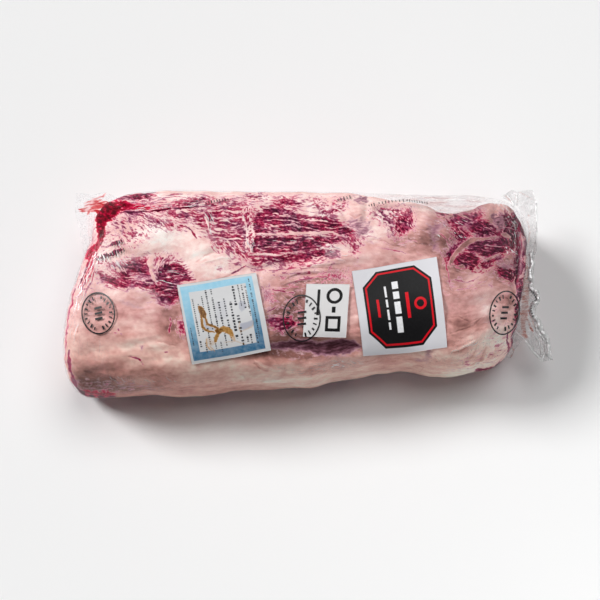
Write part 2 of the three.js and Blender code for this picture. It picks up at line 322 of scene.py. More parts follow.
def layered(u, v, seed, layers=3):
    """Noise with finer layers, each half as strong and twice as fine."""
    total, scale = 0, 0
    for k in range(layers):
        total = total + noise(u * 2**k, v * 2**k, seed + 17 * k) / 2**k
        scale += 0.5**k
    return total / scale


def from_segment(px, py, start, end):
    """Where along a segment, from 0 to 1, the nearest place to each point is, and how far off."""
    (ax, ay), (ex, ey) = start, end - start
    t = np.clip(((px - ax) * ex + (py - ay) * ey) / (ex * ex + ey * ey), 0, 1)
    return t, np.hypot(px - ax - t * ex, py - ay - t * ey)


def outline_depth(px, py, outline):
    """Signed distance to a closed outline, positive inside."""
    points = np.array(outline, float)
    nearest = np.full(px.shape, FAR_OFF)
    inside = np.zeros(px.shape, bool)
    for start, end in zip(points, np.roll(points, -1, 0)):
        nearest = np.minimum(nearest, from_segment(px, py, start, end)[1])
        (ax, ay), (ex, ey) = start, end - start
        inside ^= ((ay > py) != (end[1] > py)) & (px < (py - ay) * ex / (ey if ey else 1e-9) + ax)
    return np.where(inside, nearest, -nearest)


def stroke_cover(px, py, points, width):
    """Cover of a stroke along a polyline, 1 on it and 0 off it, narrowing towards its ends."""
    points = np.array(points, float)
    lengths = np.hypot(*np.diff(points, axis=0).T)
    ends = np.concatenate([[0], np.cumsum(lengths)])
    best = np.full(px.shape, FAR_OFF)
    for k, (start, end) in enumerate(zip(points, points[1:])):
        t, off = from_segment(px, py, start, end)
        run = (ends[k] + t * lengths[k]) / ends[-1]
        half = width / 2 * (0.25 + 0.75 * np.sqrt(np.clip(np.sin(np.pi * run), 0, 1)))
        best = np.minimum(best, off - half)
    return ramp(0.45, -0.45, best)


# ---- Layout of the meat, in the photograph's frame -----------------------------------------

# Each patch of lean: outline, grain in degrees (anticlockwise), how many white streaks cross it
# (about 0 for few and 0.8 for many), their length and width in pixels, darkness (1 is dark), and
# raggedness of its edge.
LEAN = [
    # left end
    ([(123, 261), (133, 257), (147, 255), (147, 260), (133, 261), (125, 264)],
     -8, 0.50, 16, 1.4, 0.45, 1.0),
    ([(98, 273), (106, 276), (117, 278), (126, 280), (131, 284), (127, 287), (117, 286), (107, 283),
      (100, 278)], -14, -0.06, 18, 1.5, 0.92, 0.4),
    ([(121, 265), (131, 261), (145, 260), (149, 262), (149, 271), (153, 279), (157, 285), (166, 283),
      (178, 283), (178, 298), (174, 299), (168, 303), (162, 303), (157, 297), (152, 291), (146, 288),
      (139, 286), (131, 285), (127, 280), (120, 275), (116, 269)], -3, 0.12, 26, 1.6, 0.88, 0.9),
    ([(130, 274), (140, 273), (150, 275), (150, 279), (140, 281), (131, 279)],
     -2, 0.30, 20, 1.4, 0.48, 0.8),
    ([(120, 266), (130, 266), (146, 268), (147, 272), (135, 271), (122, 269)],
     -3, 0.02, 22, 1.3, 1.05, 0.5),
    ([(155, 284), (178, 283), (178, 298), (170, 303), (163, 302), (158, 296), (156, 290)],
     -3, 0.04, 18, 1.6, 1.02, 0.8),
    ([(157, 268), (163, 263), (172, 262), (180, 265), (186, 270), (190, 278), (178, 280), (165, 282),
      (158, 282), (156, 275)], 8, 0.08, 22, 1.4, 1.06, 0.8),
    ([(152, 258), (157, 256), (166, 255), (170, 254), (176, 257), (172, 262), (163, 264), (158, 268),
      (155, 268)], 62, 0.48, 12, 1.3, 0.52, 1.2),
    ([(105, 262), (112, 262), (120, 265), (125, 270), (120, 271), (110, 268)],
     -50, 0.45, 9, 1.5, 0.62, 1.1),
    ([(106, 219), (111, 214), (117, 211), (127, 213), (136, 215), (148, 226), (145, 234), (138, 242),
      (129, 244), (121, 242), (113, 231)], -38, 0.70, 9, 1.7, 0.48, 2.2),
    ([(126, 211), (136, 210), (147, 213), (156, 219), (166, 222), (180, 224), (184, 228), (176, 227),
      (164, 226), (152, 223), (141, 218), (131, 215)], -27, 0.38, 14, 1.4, 0.60, 1.1),
    ([(163, 210), (174, 210), (188, 210), (199, 209), (204, 213), (203, 218), (192, 219), (180, 218),
      (170, 215)], -10, 0.36, 14, 1.5, 0.66, 1.2),
    ([(117, 199), (127, 195), (137, 193), (145, 192), (152, 194), (145, 197), (137, 198), (125, 199)],
     4, 0.06, 14, 1.3, 1.05, 0.6),
    # folded edge along the far side
    ([(122, 202), (141, 202), (155, 205), (171, 204), (184, 202), (205, 197), (208, 200), (196, 204),
      (180, 206), (166, 208), (150, 208), (125, 207)], 3, 0.34, 30, 1.2, 0.70, 0.8),
    ([(174, 203), (190, 200), (204, 197), (207, 199), (193, 203), (177, 205)],
     8, 0.25, 10, 1.0, 0.92, 0.6),
    ([(201, 204), (219, 200), (232, 200), (246, 204), (251, 207), (240, 207), (222, 205), (205, 207)],
     4, 0.35, 18, 1.2, 0.66, 0.9),
    # middle
    ([(192, 214), (199, 209), (206, 207), (222, 204), (241, 205), (251, 209), (250, 222), (250, 234),
      (248, 244), (245, 249), (241, 247), (232, 243), (222, 241), (212, 242), (208, 236), (203, 230),
      (197, 224), (192, 219)], -3, 0.38, 24, 1.6, 0.64, 1.4),
    ([(212, 242), (222, 241), (232, 243), (241, 247), (247, 251), (250, 258), (246, 259), (240, 255),
      (231, 253), (221, 248)], -45, 0.40, 14, 1.5, 0.66, 1.3),
    ([(256, 232), (252, 222), (254, 213), (262, 209), (263, 207), (280, 205), (290, 209), (302, 214),
      (314, 215), (333, 217), (341, 222), (352, 228), (359, 235), (349, 236), (336, 232), (322, 232),
      (307, 233), (290, 233), (277, 233)], -6, 0.26, 40, 1.5, 0.94, 1.2),
    ([(251, 235), (277, 235), (314, 236), (337, 234), (342, 238), (341, 241), (330, 243), (323, 245),
      (313, 247), (302, 248), (293, 251), (282, 253), (266, 253), (251, 252), (247, 245)],
     -2, 0.24, 22, 1.5, 1.0, 1.1),
    ([(250, 256), (264, 256), (278, 256), (288, 253), (297, 253), (309, 250), (325, 250), (337, 252),
      (337, 256), (325, 257), (314, 257), (307, 260), (296, 261), (288, 262), (269, 262), (262, 264),
      (256, 265), (252, 261)], 4, 0.22, 18, 1.4, 0.94, 1.2),
    ([(351, 234), (358, 238), (362, 242), (359, 249), (356, 255), (353, 251), (352, 246), (346, 242),
      (342, 237)], -42, 0.40, 8, 1.4, 0.62, 1.2),
    ([(244, 205), (251, 208), (251, 222), (254, 234), (250, 253), (244, 247), (247, 230), (243, 215)],
     78, 0.66, 7, 1.6, 0.62, 1.2),
    # far edge
    ([(246, 194), (256, 193), (262, 193), (269, 195), (262, 196), (258, 199), (248, 198)],
     0, 0.50, 10, 1.2, 0.62, 0.9),
    ([(273, 202), (279, 199), (286, 198), (294, 199), (301, 202), (292, 204), (277, 204)],
     0, 0.22, 14, 1.1, 0.86, 0.8),
    ([(318, 201), (326, 199), (338, 199), (343, 203), (338, 208), (328, 208), (321, 206)],
     -20, 0.78, 6, 1.3, 0.42, 1.5),
    ([(313, 199), (318, 203), (322, 208), (326, 209), (335, 208), (341, 205), (345, 202), (345, 205),
      (340, 210), (330, 213), (322, 212), (317, 206)], 15, 0.32, 9, 1.2, 0.66, 0.9),
    ([(373, 210), (380, 206), (387, 205), (400, 207), (405, 209), (400, 214), (396, 217), (394, 226),
      (399, 234), (392, 233), (384, 222), (382, 217), (375, 216)], -45, 0.50, 6, 1.6, 0.62, 1.6),
    ([(397, 217), (403, 213), (407, 210), (412, 209), (412, 218), (413, 228), (406, 232), (399, 234),
      (394, 229), (396, 222)], -60, 0.24, 9, 1.4, 0.84, 1.1),
    # right end: dark lean, set darker still as painted shade where that end turns from the light
    ([(439, 209), (447, 212), (458, 213), (468, 211), (478, 206), (482, 209), (478, 217), (470, 222),
      (464, 226), (456, 228), (448, 222), (442, 215)], -24, 0.34, 18, 1.4, 0.82, 1.4),
    ([(452, 228), (458, 226), (464, 229), (470, 234), (463, 241), (457, 239), (454, 234)],
     -50, 0.22, 7, 1.4, 0.98, 1.1),
    ([(470, 223), (478, 218), (488, 219), (494, 222), (499, 227), (501, 232), (490, 235), (478, 234),
      (471, 231)], -12, 0.02, 12, 1.4, 1.15, 1.1),
    ([(468, 247), (470, 242), (477, 239), (485, 238), (503, 239), (521, 242), (524, 246), (520, 249),
      (509, 247), (507, 250), (494, 252), (488, 256), (482, 254), (478, 251)],
     -4, 0.04, 20, 1.4, 1.15, 1.0),
    ([(447, 261), (447, 251), (455, 244), (462, 241), (459, 246), (453, 255), (449, 261)],
     55, 0.14, 10, 1.3, 0.98, 0.7),
    ([(453, 261), (460, 254), (467, 250), (478, 254), (480, 261), (475, 267), (465, 266), (456, 263)],
     -14, -0.04, 12, 1.4, 1.22, 0.9),
    ([(481, 261), (487, 260), (493, 258), (503, 253), (505, 254), (494, 262), (490, 268), (483, 267)],
     22, 0.16, 9, 1.3, 1.05, 1.1),
    ([(499, 266), (506, 266), (520, 270), (522, 273), (516, 280), (512, 280), (503, 275), (499, 271)],
     -22, -0.30, 10, 1.3, 1.25, 0.6),
    ([(503, 212), (509, 209), (514, 209), (522, 214), (526, 226), (526, 245), (522, 248), (514, 246),
      (508, 245), (502, 239), (502, 227), (500, 218)], -64, 0.0, 16, 1.5, 1.15, 1.1),
    ([(521, 245), (526, 244), (525, 258), (521, 268), (518, 262), (520, 254)],
     82, 0.16, 14, 1.2, 1.05, 0.8),
    # lower side
    ([(267, 321), (272, 318), (278, 317), (291, 319), (296, 322), (295, 326), (288, 329), (282, 331),
      (274, 327)], 8, -0.10, 14, 1.5, 0.92, 0.8),
    ([(262, 289), (270, 289), (272, 295), (270, 301), (264, 300)], -75, 0.40, 7, 1.2, 0.55, 1.2),
    ([(179, 320), (184, 320), (186, 334), (180, 333)], -80, 0.10, 8, 1.4, 0.70, 0.9),
    ([(322, 276), (330, 272), (342, 272), (350, 275), (349, 280), (336, 280), (324, 280)],
     80, 0.55, 7, 1.2, 0.45, 1.5),
]

# Pale fat that lies over the lean.
PALE = [
    [(149, 256), (154, 253), (153, 262), (152, 270), (155, 278), (158, 286), (153, 280), (149, 272),
     (147, 262)],
    [(449, 265), (449, 259), (453, 252), (460, 244), (468, 238), (478, 236), (490, 236), (503, 233),
     (490, 238), (478, 239), (470, 243), (463, 248), (457, 254), (453, 262)],
    [(502, 230), (509, 229), (515, 233), (512, 236), (506, 235)],
]

# Pale fat and sinew over the lean: width in pixels and places along the line.
PALE_STROKES = [
    (1.4, [(160, 263), (157, 270), (158, 276)]),
    (1.2, [(166, 259), (161, 266)]),
    (1.2, [(162, 290), (170, 289), (178, 289)]),
    (1.2, [(160, 295), (168, 294), (177, 295)]),
    (1.0, [(164, 272), (174, 271), (184, 273)]),
    (1.0, [(162, 277), (174, 275), (187, 276)]),
    (1.2, [(126, 272), (137, 272), (147, 273)]),
    (1.3, [(110, 207), (140, 209), (156, 208)]),
    (1.0, [(126, 205), (150, 206), (176, 205)]),
    (2.2, [(203, 210), (207, 218), (209, 226), (210, 233)]),
    (1.6, [(205, 216), (209, 226), (211, 236)]),
    (1.4, [(222, 210), (236, 211), (248, 211)]),
    (1.6, [(212, 217), (226, 218), (240, 216)]),
    (1.8, [(214, 227), (228, 229), (242, 227)]),
    (2.0, [(214, 236), (226, 238), (240, 238)]),
    (3.0, [(248, 231), (262, 233), (284, 234), (312, 233), (333, 232), (346, 236)]),
    (1.2, [(262, 214), (276, 212), (286, 213)]),
    (1.3, [(262, 220), (276, 219), (290, 220), (304, 224)]),
    (1.2, [(288, 215), (300, 219), (314, 222), (330, 225)]),
    (1.5, [(268, 227), (281, 225), (295, 224), (308, 227), (318, 231)]),
    (1.5, [(262, 247), (276, 246), (290, 246)]),
    (2.6, [(250, 255), (264, 254), (278, 255), (290, 252)]),
    (1.8, [(479, 254), (485, 259), (493, 257), (503, 250)]),
    (1.6, [(502, 223), (512, 224), (523, 227)]),
    (1.6, [(505, 215), (508, 222), (505, 229)]),
    (1.5, [(476, 245), (488, 243), (500, 245), (512, 244)]),
    (1.4, [(480, 226), (490, 227), (497, 231)]),
]

# Thin lean, veins and seams: width, darkness and places along the line.
DARK_STROKES = [
    (5.5, 0.66, [(96, 258), (104, 256), (112, 253), (122, 249)]),
    (4.0, 0.60, [(107, 246), (113, 243), (121, 240)]),
    (2.4, 0.98, [(150, 211), (160, 210), (168, 209), (178, 208), (190, 207), (198, 205)]),
    (1.6, 0.90, [(118, 211), (134, 211), (152, 211)]),
    (1.3, 0.85, [(288, 250), (302, 249), (323, 246)]),
    (1.4, 0.80, [(170, 283), (184, 280), (196, 279)]),
    (1.6, 0.70, [(231, 273), (240, 269), (246, 265)]),
    (1.1, 0.40, [(246, 266), (256, 269), (266, 270)]),
    (1.2, 0.50, [(269, 270), (280, 268), (291, 266), (303, 267), (315, 268)]),
    (1.2, 0.42, [(288, 283), (302, 279), (320, 276), (330, 278)]),
    (1.0, 0.38, [(283, 276), (296, 273), (310, 272)]),
    (1.3, 0.66, [(267, 289), (282, 291), (295, 293)]),
    (1.1, 0.50, [(274, 291), (286, 288), (298, 286)]),
    (1.2, 0.55, [(267, 312), (273, 309), (279, 305)]),
    (2.0, 0.66, [(180, 225), (186, 226), (192, 230), (197, 238)]),
    (1.1, 0.60, [(144, 192), (150, 191), (158, 192)]),
    (1.6, 0.42, [(165, 195), (174, 193), (183, 192)]),
    (1.4, 0.40, [(114, 198), (124, 197), (134, 197)]),
    (1.2, 0.35, [(150, 198), (166, 197), (180, 195)]),
    (2.2, 0.60, [(67, 386), (65, 370), (64, 352), (65, 330), (69, 308), (75, 288)]),
    (1.8, 0.60, [(77, 287), (83, 274), (88, 262), (93, 250), (97, 240)]),
    (1.4, 0.60, [(80, 291), (87, 277), (92, 263), (97, 252)]),
    (1.2, 0.50, [(84, 296), (90, 282), (95, 268)]),
    (2.6, 0.66, [(84, 257), (87, 251), (91, 245)]),
    (6.5, 0.80, [(523, 212), (526, 230), (526, 248), (524, 268), (522, 290)]),
    (2.4, 0.98, [(526, 213), (528, 232), (527, 249), (523, 268), (521, 284)]),
    (4.4, 0.50, [(68, 350), (69, 366), (72, 380), (76, 391)]),
    (1.2, 0.60, [(508, 265), (513, 263), (520, 263)]),
    (1.3, 0.45, [(440, 249), (446, 262), (449, 276), (452, 290)]),
    (1.1, 0.38, [(445, 281), (456, 279), (468, 282), (478, 278)]),
    (1.0, 0.35, [(455, 290), (466, 287), (478, 288)]),
    (1.0, 0.40, [(440, 232), (446, 238), (450, 246)]),
    (1.2, 0.42, [(380, 247), (390, 250), (402, 251), (410, 254)]),
    (1.0, 0.34, [(360, 240), (368, 236), (376, 237)]),
    (1.0, 0.34, [(398, 243), (408, 240), (418, 241)]),
    (2.0, 0.55, [(170, 316), (170, 321)]),
    (2.2, 0.62, [(171, 322), (170, 327), (169, 333)]),
    (1.6, 0.40, [(117, 328), (119, 331)]),
    (1.6, 0.34, [(114, 333), (117, 334)]),
    (1.6, 0.38, [(120, 333), (122, 335)]),
    (2.0, 0.55, [(165, 352.6), (168.6, 352.4)]),
    (2.0, 0.45, [(138, 360), (141, 362)]),
    (1.4, 0.35, [(142, 364), (142.5, 367)]),
    (1.4, 0.80, [(141, 349), (142, 346)]),
    (1.6, 0.50, [(130, 357), (136, 359), (142, 361)]),
    (1.6, 0.60, [(511, 333), (510, 345), (508, 356), (504, 362)]),
    (3.4, 0.66, [(505, 361), (495, 367), (484, 370), (476, 371)]),
    (1.6, 0.55, [(474, 373), (484, 373), (490, 371)]),
    # the last two: dark red lean along the near left corner, darkened further as painted shade where that
    # corner turns from the light
    (4.6, 0.90, [(68, 382), (72, 389), (78, 393), (90, 396), (104, 397), (116, 397)]),
    (3.6, 0.92, [(88, 394.5), (98, 395.5), (108, 395.5)]),
]

# Where raw juice has gathered under the film: outline and depth of colour.
JUICE = [
    ([(86, 207), (94, 202), (104, 200), (112, 200), (121, 206), (117, 213), (111, 219), (106, 223),
      (104.5, 232), (102, 241), (98, 243), (97, 232), (95, 220), (91, 211)], 0.84),
    ([(110, 200), (122, 200), (130, 202), (134, 206), (124, 208), (112, 209)], 0.72),
    ([(128, 202), (142, 203), (156, 206), (150, 209), (128, 208)], 0.46),
    ([(84, 258), (88, 249), (92, 244), (98, 240), (99, 244), (94, 252), (88, 259)], 0.62),
    ([(80, 390), (92, 392), (108, 392), (116, 394), (106, 398), (86, 396)], 0.60),
]
# Threads of juice: width, strength and line.
JUICE_STROKES = [
    (3.0, 1.00, [(94, 208), (101, 209), (108, 208), (116, 206.5), (122.5, 206)]),
    (2.4, 1.00, [(98, 211), (101, 219), (102.5, 229), (102.5, 240), (100, 245)]),
    (2.2, 0.85, [(101, 212), (106, 213), (111, 210), (118, 209)]),
    (1.8, 0.80, [(104, 215), (103.5, 224), (104.5, 233)]),
    (1.6, 0.75, [(88, 208), (94, 205), (101, 202.5), (110, 201)]),
    (1.4, 0.70, [(112, 204), (120, 202.5), (129, 203), (138, 205)]),
    (1.4, 0.80, [(110, 208), (122, 208.5), (136, 208), (150, 209)]),
    (1.4, 0.55, [(98, 206), (96, 200), (98, 196)]),
    (1.6, 0.60, [(100, 243), (95, 249), (90, 257), (86, 266)]),
    (1.2, 0.55, [(97, 240), (91, 249), (85, 258)]),
    (1.4, 0.42, [(95, 252), (90, 264), (85, 276), (79, 288)]),
    (1.0, 0.34, [(97, 256), (92, 270), (86, 284)]),
    (1.3, 0.22, [(66, 372), (64.5, 352), (65, 332), (69, 310), (74, 292)]),
]

# Dull mauve membrane, and painted shade in hollows: outline, strength and raggedness of its edge.
SILVER_AND_HOLLOW_SHADE = [
    ([(344, 221), (351, 217), (359, 217), (370, 221), (371, 230), (367, 236), (360, 237), (352, 229)],
     0.36, 1.4),
    ([(354, 196), (360, 193), (368, 195), (368, 200), (360, 202), (355, 200)], 0.50, 1.2),
    ([(429, 226), (434, 223), (447, 219), (448, 224), (441, 230), (437, 236), (439, 251), (434, 251),
      (431, 236)], 0.36, 1.4),
    ([(494, 209), (501, 208), (506, 214), (506, 224), (500, 228), (495, 219)], 0.62, 1.6),
    ([(508, 258), (516, 258), (518, 261), (510, 262)], 0.30, 0.8),
    ([(205, 225), (215, 226), (216, 242), (207, 238)], 0.16, 1.0),
    ([(262, 289), (271, 289), (272, 300), (264, 301)], 0.30, 1.0),
    ([(302, 345), (315, 345), (326, 342), (342, 340), (354, 342), (361, 348), (350, 354), (333, 356),
      (318, 355), (306, 351)], 0.88, 0.3),
    ([(262, 347), (282, 342), (300, 340), (316, 342), (322, 348), (312, 353), (290, 351), (272, 350)],
     0.80, 0.4),
    ([(498, 262), (508, 261), (521, 263), (521, 267), (508, 267), (500, 266)], 0.40, 1.0),
    ([(325, 249), (337, 251), (339, 255), (328, 256)], 0.24, 0.8),
    ([(119, 299), (125, 300), (132, 304), (142, 308), (133, 307), (124, 304)], 0.30, 0.8),
    ([(150, 288), (160, 292), (158, 298), (148, 294)], 0.20, 1.0),
    ([(426, 349), (431, 349), (431, 359), (426, 359)], 0.34, 0.6),
    ([(414, 359), (424, 359), (432, 361), (424, 363), (415, 362)], 0.30, 0.6),
    ([(140, 346), (142.5, 346), (142, 350), (140, 350)], 0.50, 0.3),
]

# Pinker, darker fat, with painted shade in the hollows, at the near left corner and on the right end,
# and painted light along the near lower edge: middle, reach along and across in pixels, turn, and
# strength; below zero is paler and creamier.
FAT_TONE_AND_SHADING = [
    (452, 318, 18, 34, 0, 0.75),
    (478, 324, 16, 14, 0, 0.50),
    (512, 300, 14, 30, 0, 0.45),
    (500, 340, 18, 14, 0, -0.75),
    (470, 348, 26, 8, 10, -0.35),
    (400, 246, 44, 14, 6, 0.45),
    (432, 232, 14, 20, 0, 0.75),
    (480, 225, 40, 30, 0, 1.10),
    (502, 266, 24, 16, 0, 0.95),
    (452, 266, 14, 18, 0, 0.70),
    (440, 250, 90, 46, 0, 0.30),
    (190, 322, 110, 30, 0, 0.30),
    (330, 278, 26, 10, 5, 0.95),
    (290, 304, 28, 30, 0, 1.15),
    (190, 316, 16, 30, 0, 0.40),
    (390, 316, 50, 40, 0, 0.30),
    (288, 335, 34, 22, 0, 1.10),
    (325, 347, 60, 10, 2, 0.65),
    (170, 314, 12, 26, 0, 0.95),
    (118, 306, 26, 16, 0, 0.45),
    (95, 318, 14, 30, 0, 0.30),
    (72, 320, 5, 60, 4, 0.05),
    (78, 392, 22, 8, 12, 1.60),
    (225, 262, 30, 8, 8, 0.10),
    (172, 345, 10, 12, 0, 0.35),
    (165, 378, 50, 8, 6, 0.45),
    (98, 380, 40, 12, 10, 1.15),
    (125, 389, 60, 6, 2, 0.70),
    (82, 360, 16, 26, 0, 0.55),
    (170, 362, 14, 7, 0, -0.55),
    (160, 231, 34, 14, 10, -0.75),
    (196, 258, 26, 12, 20, -0.45),
    (215, 270, 20, 8, 10, -0.20),
    (110, 250, 14, 18, 0, -0.45),
    (130, 347, 12, 5, 8, -0.80),
    (205, 197, 40, 4, 0, -0.40),
    (280, 198, 40, 6, 0, -0.20),
    (427, 216, 12, 11, 0, -0.45),
    (360, 207, 14, 10, 0, -0.20),
    (375, 232, 16, 14, 0, -0.20),
    (330, 246, 16, 5, 0, -0.60),
    (328, 213, 16, 5, 10, -0.50),
    (488, 210, 12, 9, 0, 0.10),
    (232, 256, 12, 5, 30, -0.30),
    (400, 380, 90, 7, 2, -0.95),
    (470, 373, 34, 7, 12, -1.0),
    (300, 353, 36, 10, 0, 1.15),
    (350, 354, 14, 7, 0, 0.60),
    (250, 376, 60, 7, -6, -0.40),
]

# Creases, ridges and smudges in the fat, with painted shade in the creases and painted highlight on the
# ridges: width, darker above zero and paler below, and line.
CREASE_SHADE_AND_HIGHLIGHTS = [
    (3.2, -0.55, [(255, 361), (262, 365), (270, 369), (280, 372)]),
    (1.8, 0.45, [(254, 364), (260, 369), (268, 372)]),
    (2.0, 0.55, [(270, 346), (282, 344), (295, 342)]),
    (2.2, 0.55, [(128, 357), (134, 358), (140, 361), (143, 366)]),
    (1.8, 0.40, [(157, 341), (166, 343), (176, 346)]),
    (1.5, -0.70, [(452, 352), (460, 350), (468, 346), (476, 341.5)]),
    (1.6, 0.35, [(452, 354), (461, 352), (470, 348), (478, 344)]),
    (1.4, 0.45, [(470, 368), (478, 364), (484, 358), (488, 350)]),
    (1.2, -0.45, [(474, 368), (482, 363), (488, 357), (492, 350)]),
    (1.2, 0.45, [(478, 369), (488, 363), (495, 355), (498, 346)]),
    (1.2, 0.35, [(462, 366), (470, 361), (476, 353), (479, 345)]),
    (1.2, 0.45, [(412, 368), (418, 366), (423, 368), (420, 372)]),
    (1.2, 0.40, [(424, 372), (434, 374), (444, 372)]),
    (1.1, 0.30, [(446, 318), (458, 316), (470, 322), (480, 318)]),
    (1.1, 0.30, [(450, 334), (462, 330), (474, 326), (486, 314)]),
    (2.4, -0.35, [(262, 383), (270, 382), (281, 381)]),
    (1.2, -0.55, [(283, 284), (290, 281), (299, 279), (309, 278), (319, 277)]),
    (1.2, 0.65, [(283, 286), (291, 283), (300, 281), (312, 280)]),
    (1.0, 0.50, [(286, 279), (296, 275), (308, 274), (322, 273)]),
    (1.0, -0.50, [(286, 277), (298, 273), (312, 271), (326, 271)]),
    (1.0, 0.45, [(296, 270), (310, 268), (324, 268), (338, 269)]),
    (1.0, -0.40, [(300, 266), (314, 264), (330, 264), (344, 262)]),
    (1.0, 0.40, [(318, 285), (326, 279), (333, 275), (341, 272)]),
    (1.4, 0.45, [(196, 262), (204, 256), (212, 252), (222, 252)]),
    (1.4, -0.40, [(200, 264), (210, 260), (222, 257), (236, 258)]),
    (1.2, 0.55, [(205, 283), (216, 281), (228, 276), (240, 270)]),
    (1.6, -0.50, [(320, 260), (330, 258), (342, 259), (346, 262)]),
    (1.4, 0.40, [(414, 227), (424, 230), (434, 227)]),
    (1.4, 0.45, [(349, 214), (355, 217), (362, 214)]),
    (1.2, 0.40, [(366, 243), (374, 239), (384, 240), (394, 244), (404, 244)]),
    (1.2, 0.40, [(396, 238), (408, 238), (418, 243), (428, 244)]),
    (1.4, 0.45, [(496, 300), (502, 296), (510, 298), (515, 304)]),
    (1.4, 0.40, [(488, 338), (496, 340), (503, 336), (508, 330)]),
    (3.0, 0.55, [(84, 372), (92, 376), (104, 378), (116, 380)]),
    (2.4, 0.45, [(80, 380), (94, 386), (110, 389), (124, 389)]),
]

# Where thin red veins and streaks cross the fat: middle, reach along and across, turn, strength.
VEINY = [
    (125, 226, 30, 20, 0, 1.0),
    (170, 222, 30, 8, -10, 0.8),
    (240, 262, 34, 8, 8, 0.8),
    (300, 268, 50, 12, 0, 0.9),
    (290, 305, 28, 26, 0, 0.7),
    (190, 198, 70, 6, 0, 0.9),
    (300, 200, 50, 8, 0, 0.8),
    (390, 235, 40, 18, 0, 0.55),
    (455, 215, 24, 12, 0, 0.8),
    (470, 285, 40, 14, 0, 0.55),
    (500, 330, 16, 34, 0, 0.5),
    (92, 275, 14, 44, -20, 0.8),
    (330, 352, 70, 10, 0, 0.5),
    (100, 388, 44, 8, 0, 0.9),
    (160, 300, 40, 12, 0, 0.4),
    (480, 362, 34, 8, 14, 0.6),
]


def lean_streaks(px, py, grain, long, wide, seed):
    """Streaky noise drawn out along a gently waved grain: broad, thin, flecked and specked."""
    cos, sin = cos_sin(grain)
    wave_x = px + 2.6 * noise(px / 17, py / 17, seed + 3) + 0.7 * noise(px / 5, py / 5, seed + 4)
    wave_y = py + 2.6 * noise(px / 17, py / 17, seed + 5) + 0.7 * noise(px / 5, py / 5, seed + 6)
    along = wave_x * cos - wave_y * sin
    across = wave_x * sin + wave_y * cos
    broad = layered(along / long, across / (wide * 1.9), seed + 11, 3)
    thin = layered(along / (long * 0.5), across / wide, seed + 12, 2)
    fleck = layered(along / 3.4, across / 1.9, seed + 13, 2)
    speck = layered(along / 2.4, across / 1.05, seed + 14, 2)
    return broad, thin, fleck, speck


def near_to(px, py, points, margin):
    """Mask of places in the box round some points."""
    points = np.array(points, float)
    low, high = points.min(0) - margin, points.max(0) + margin
    return (px > low[0]) & (px < high[0]) & (py > low[1]) & (py < high[1])


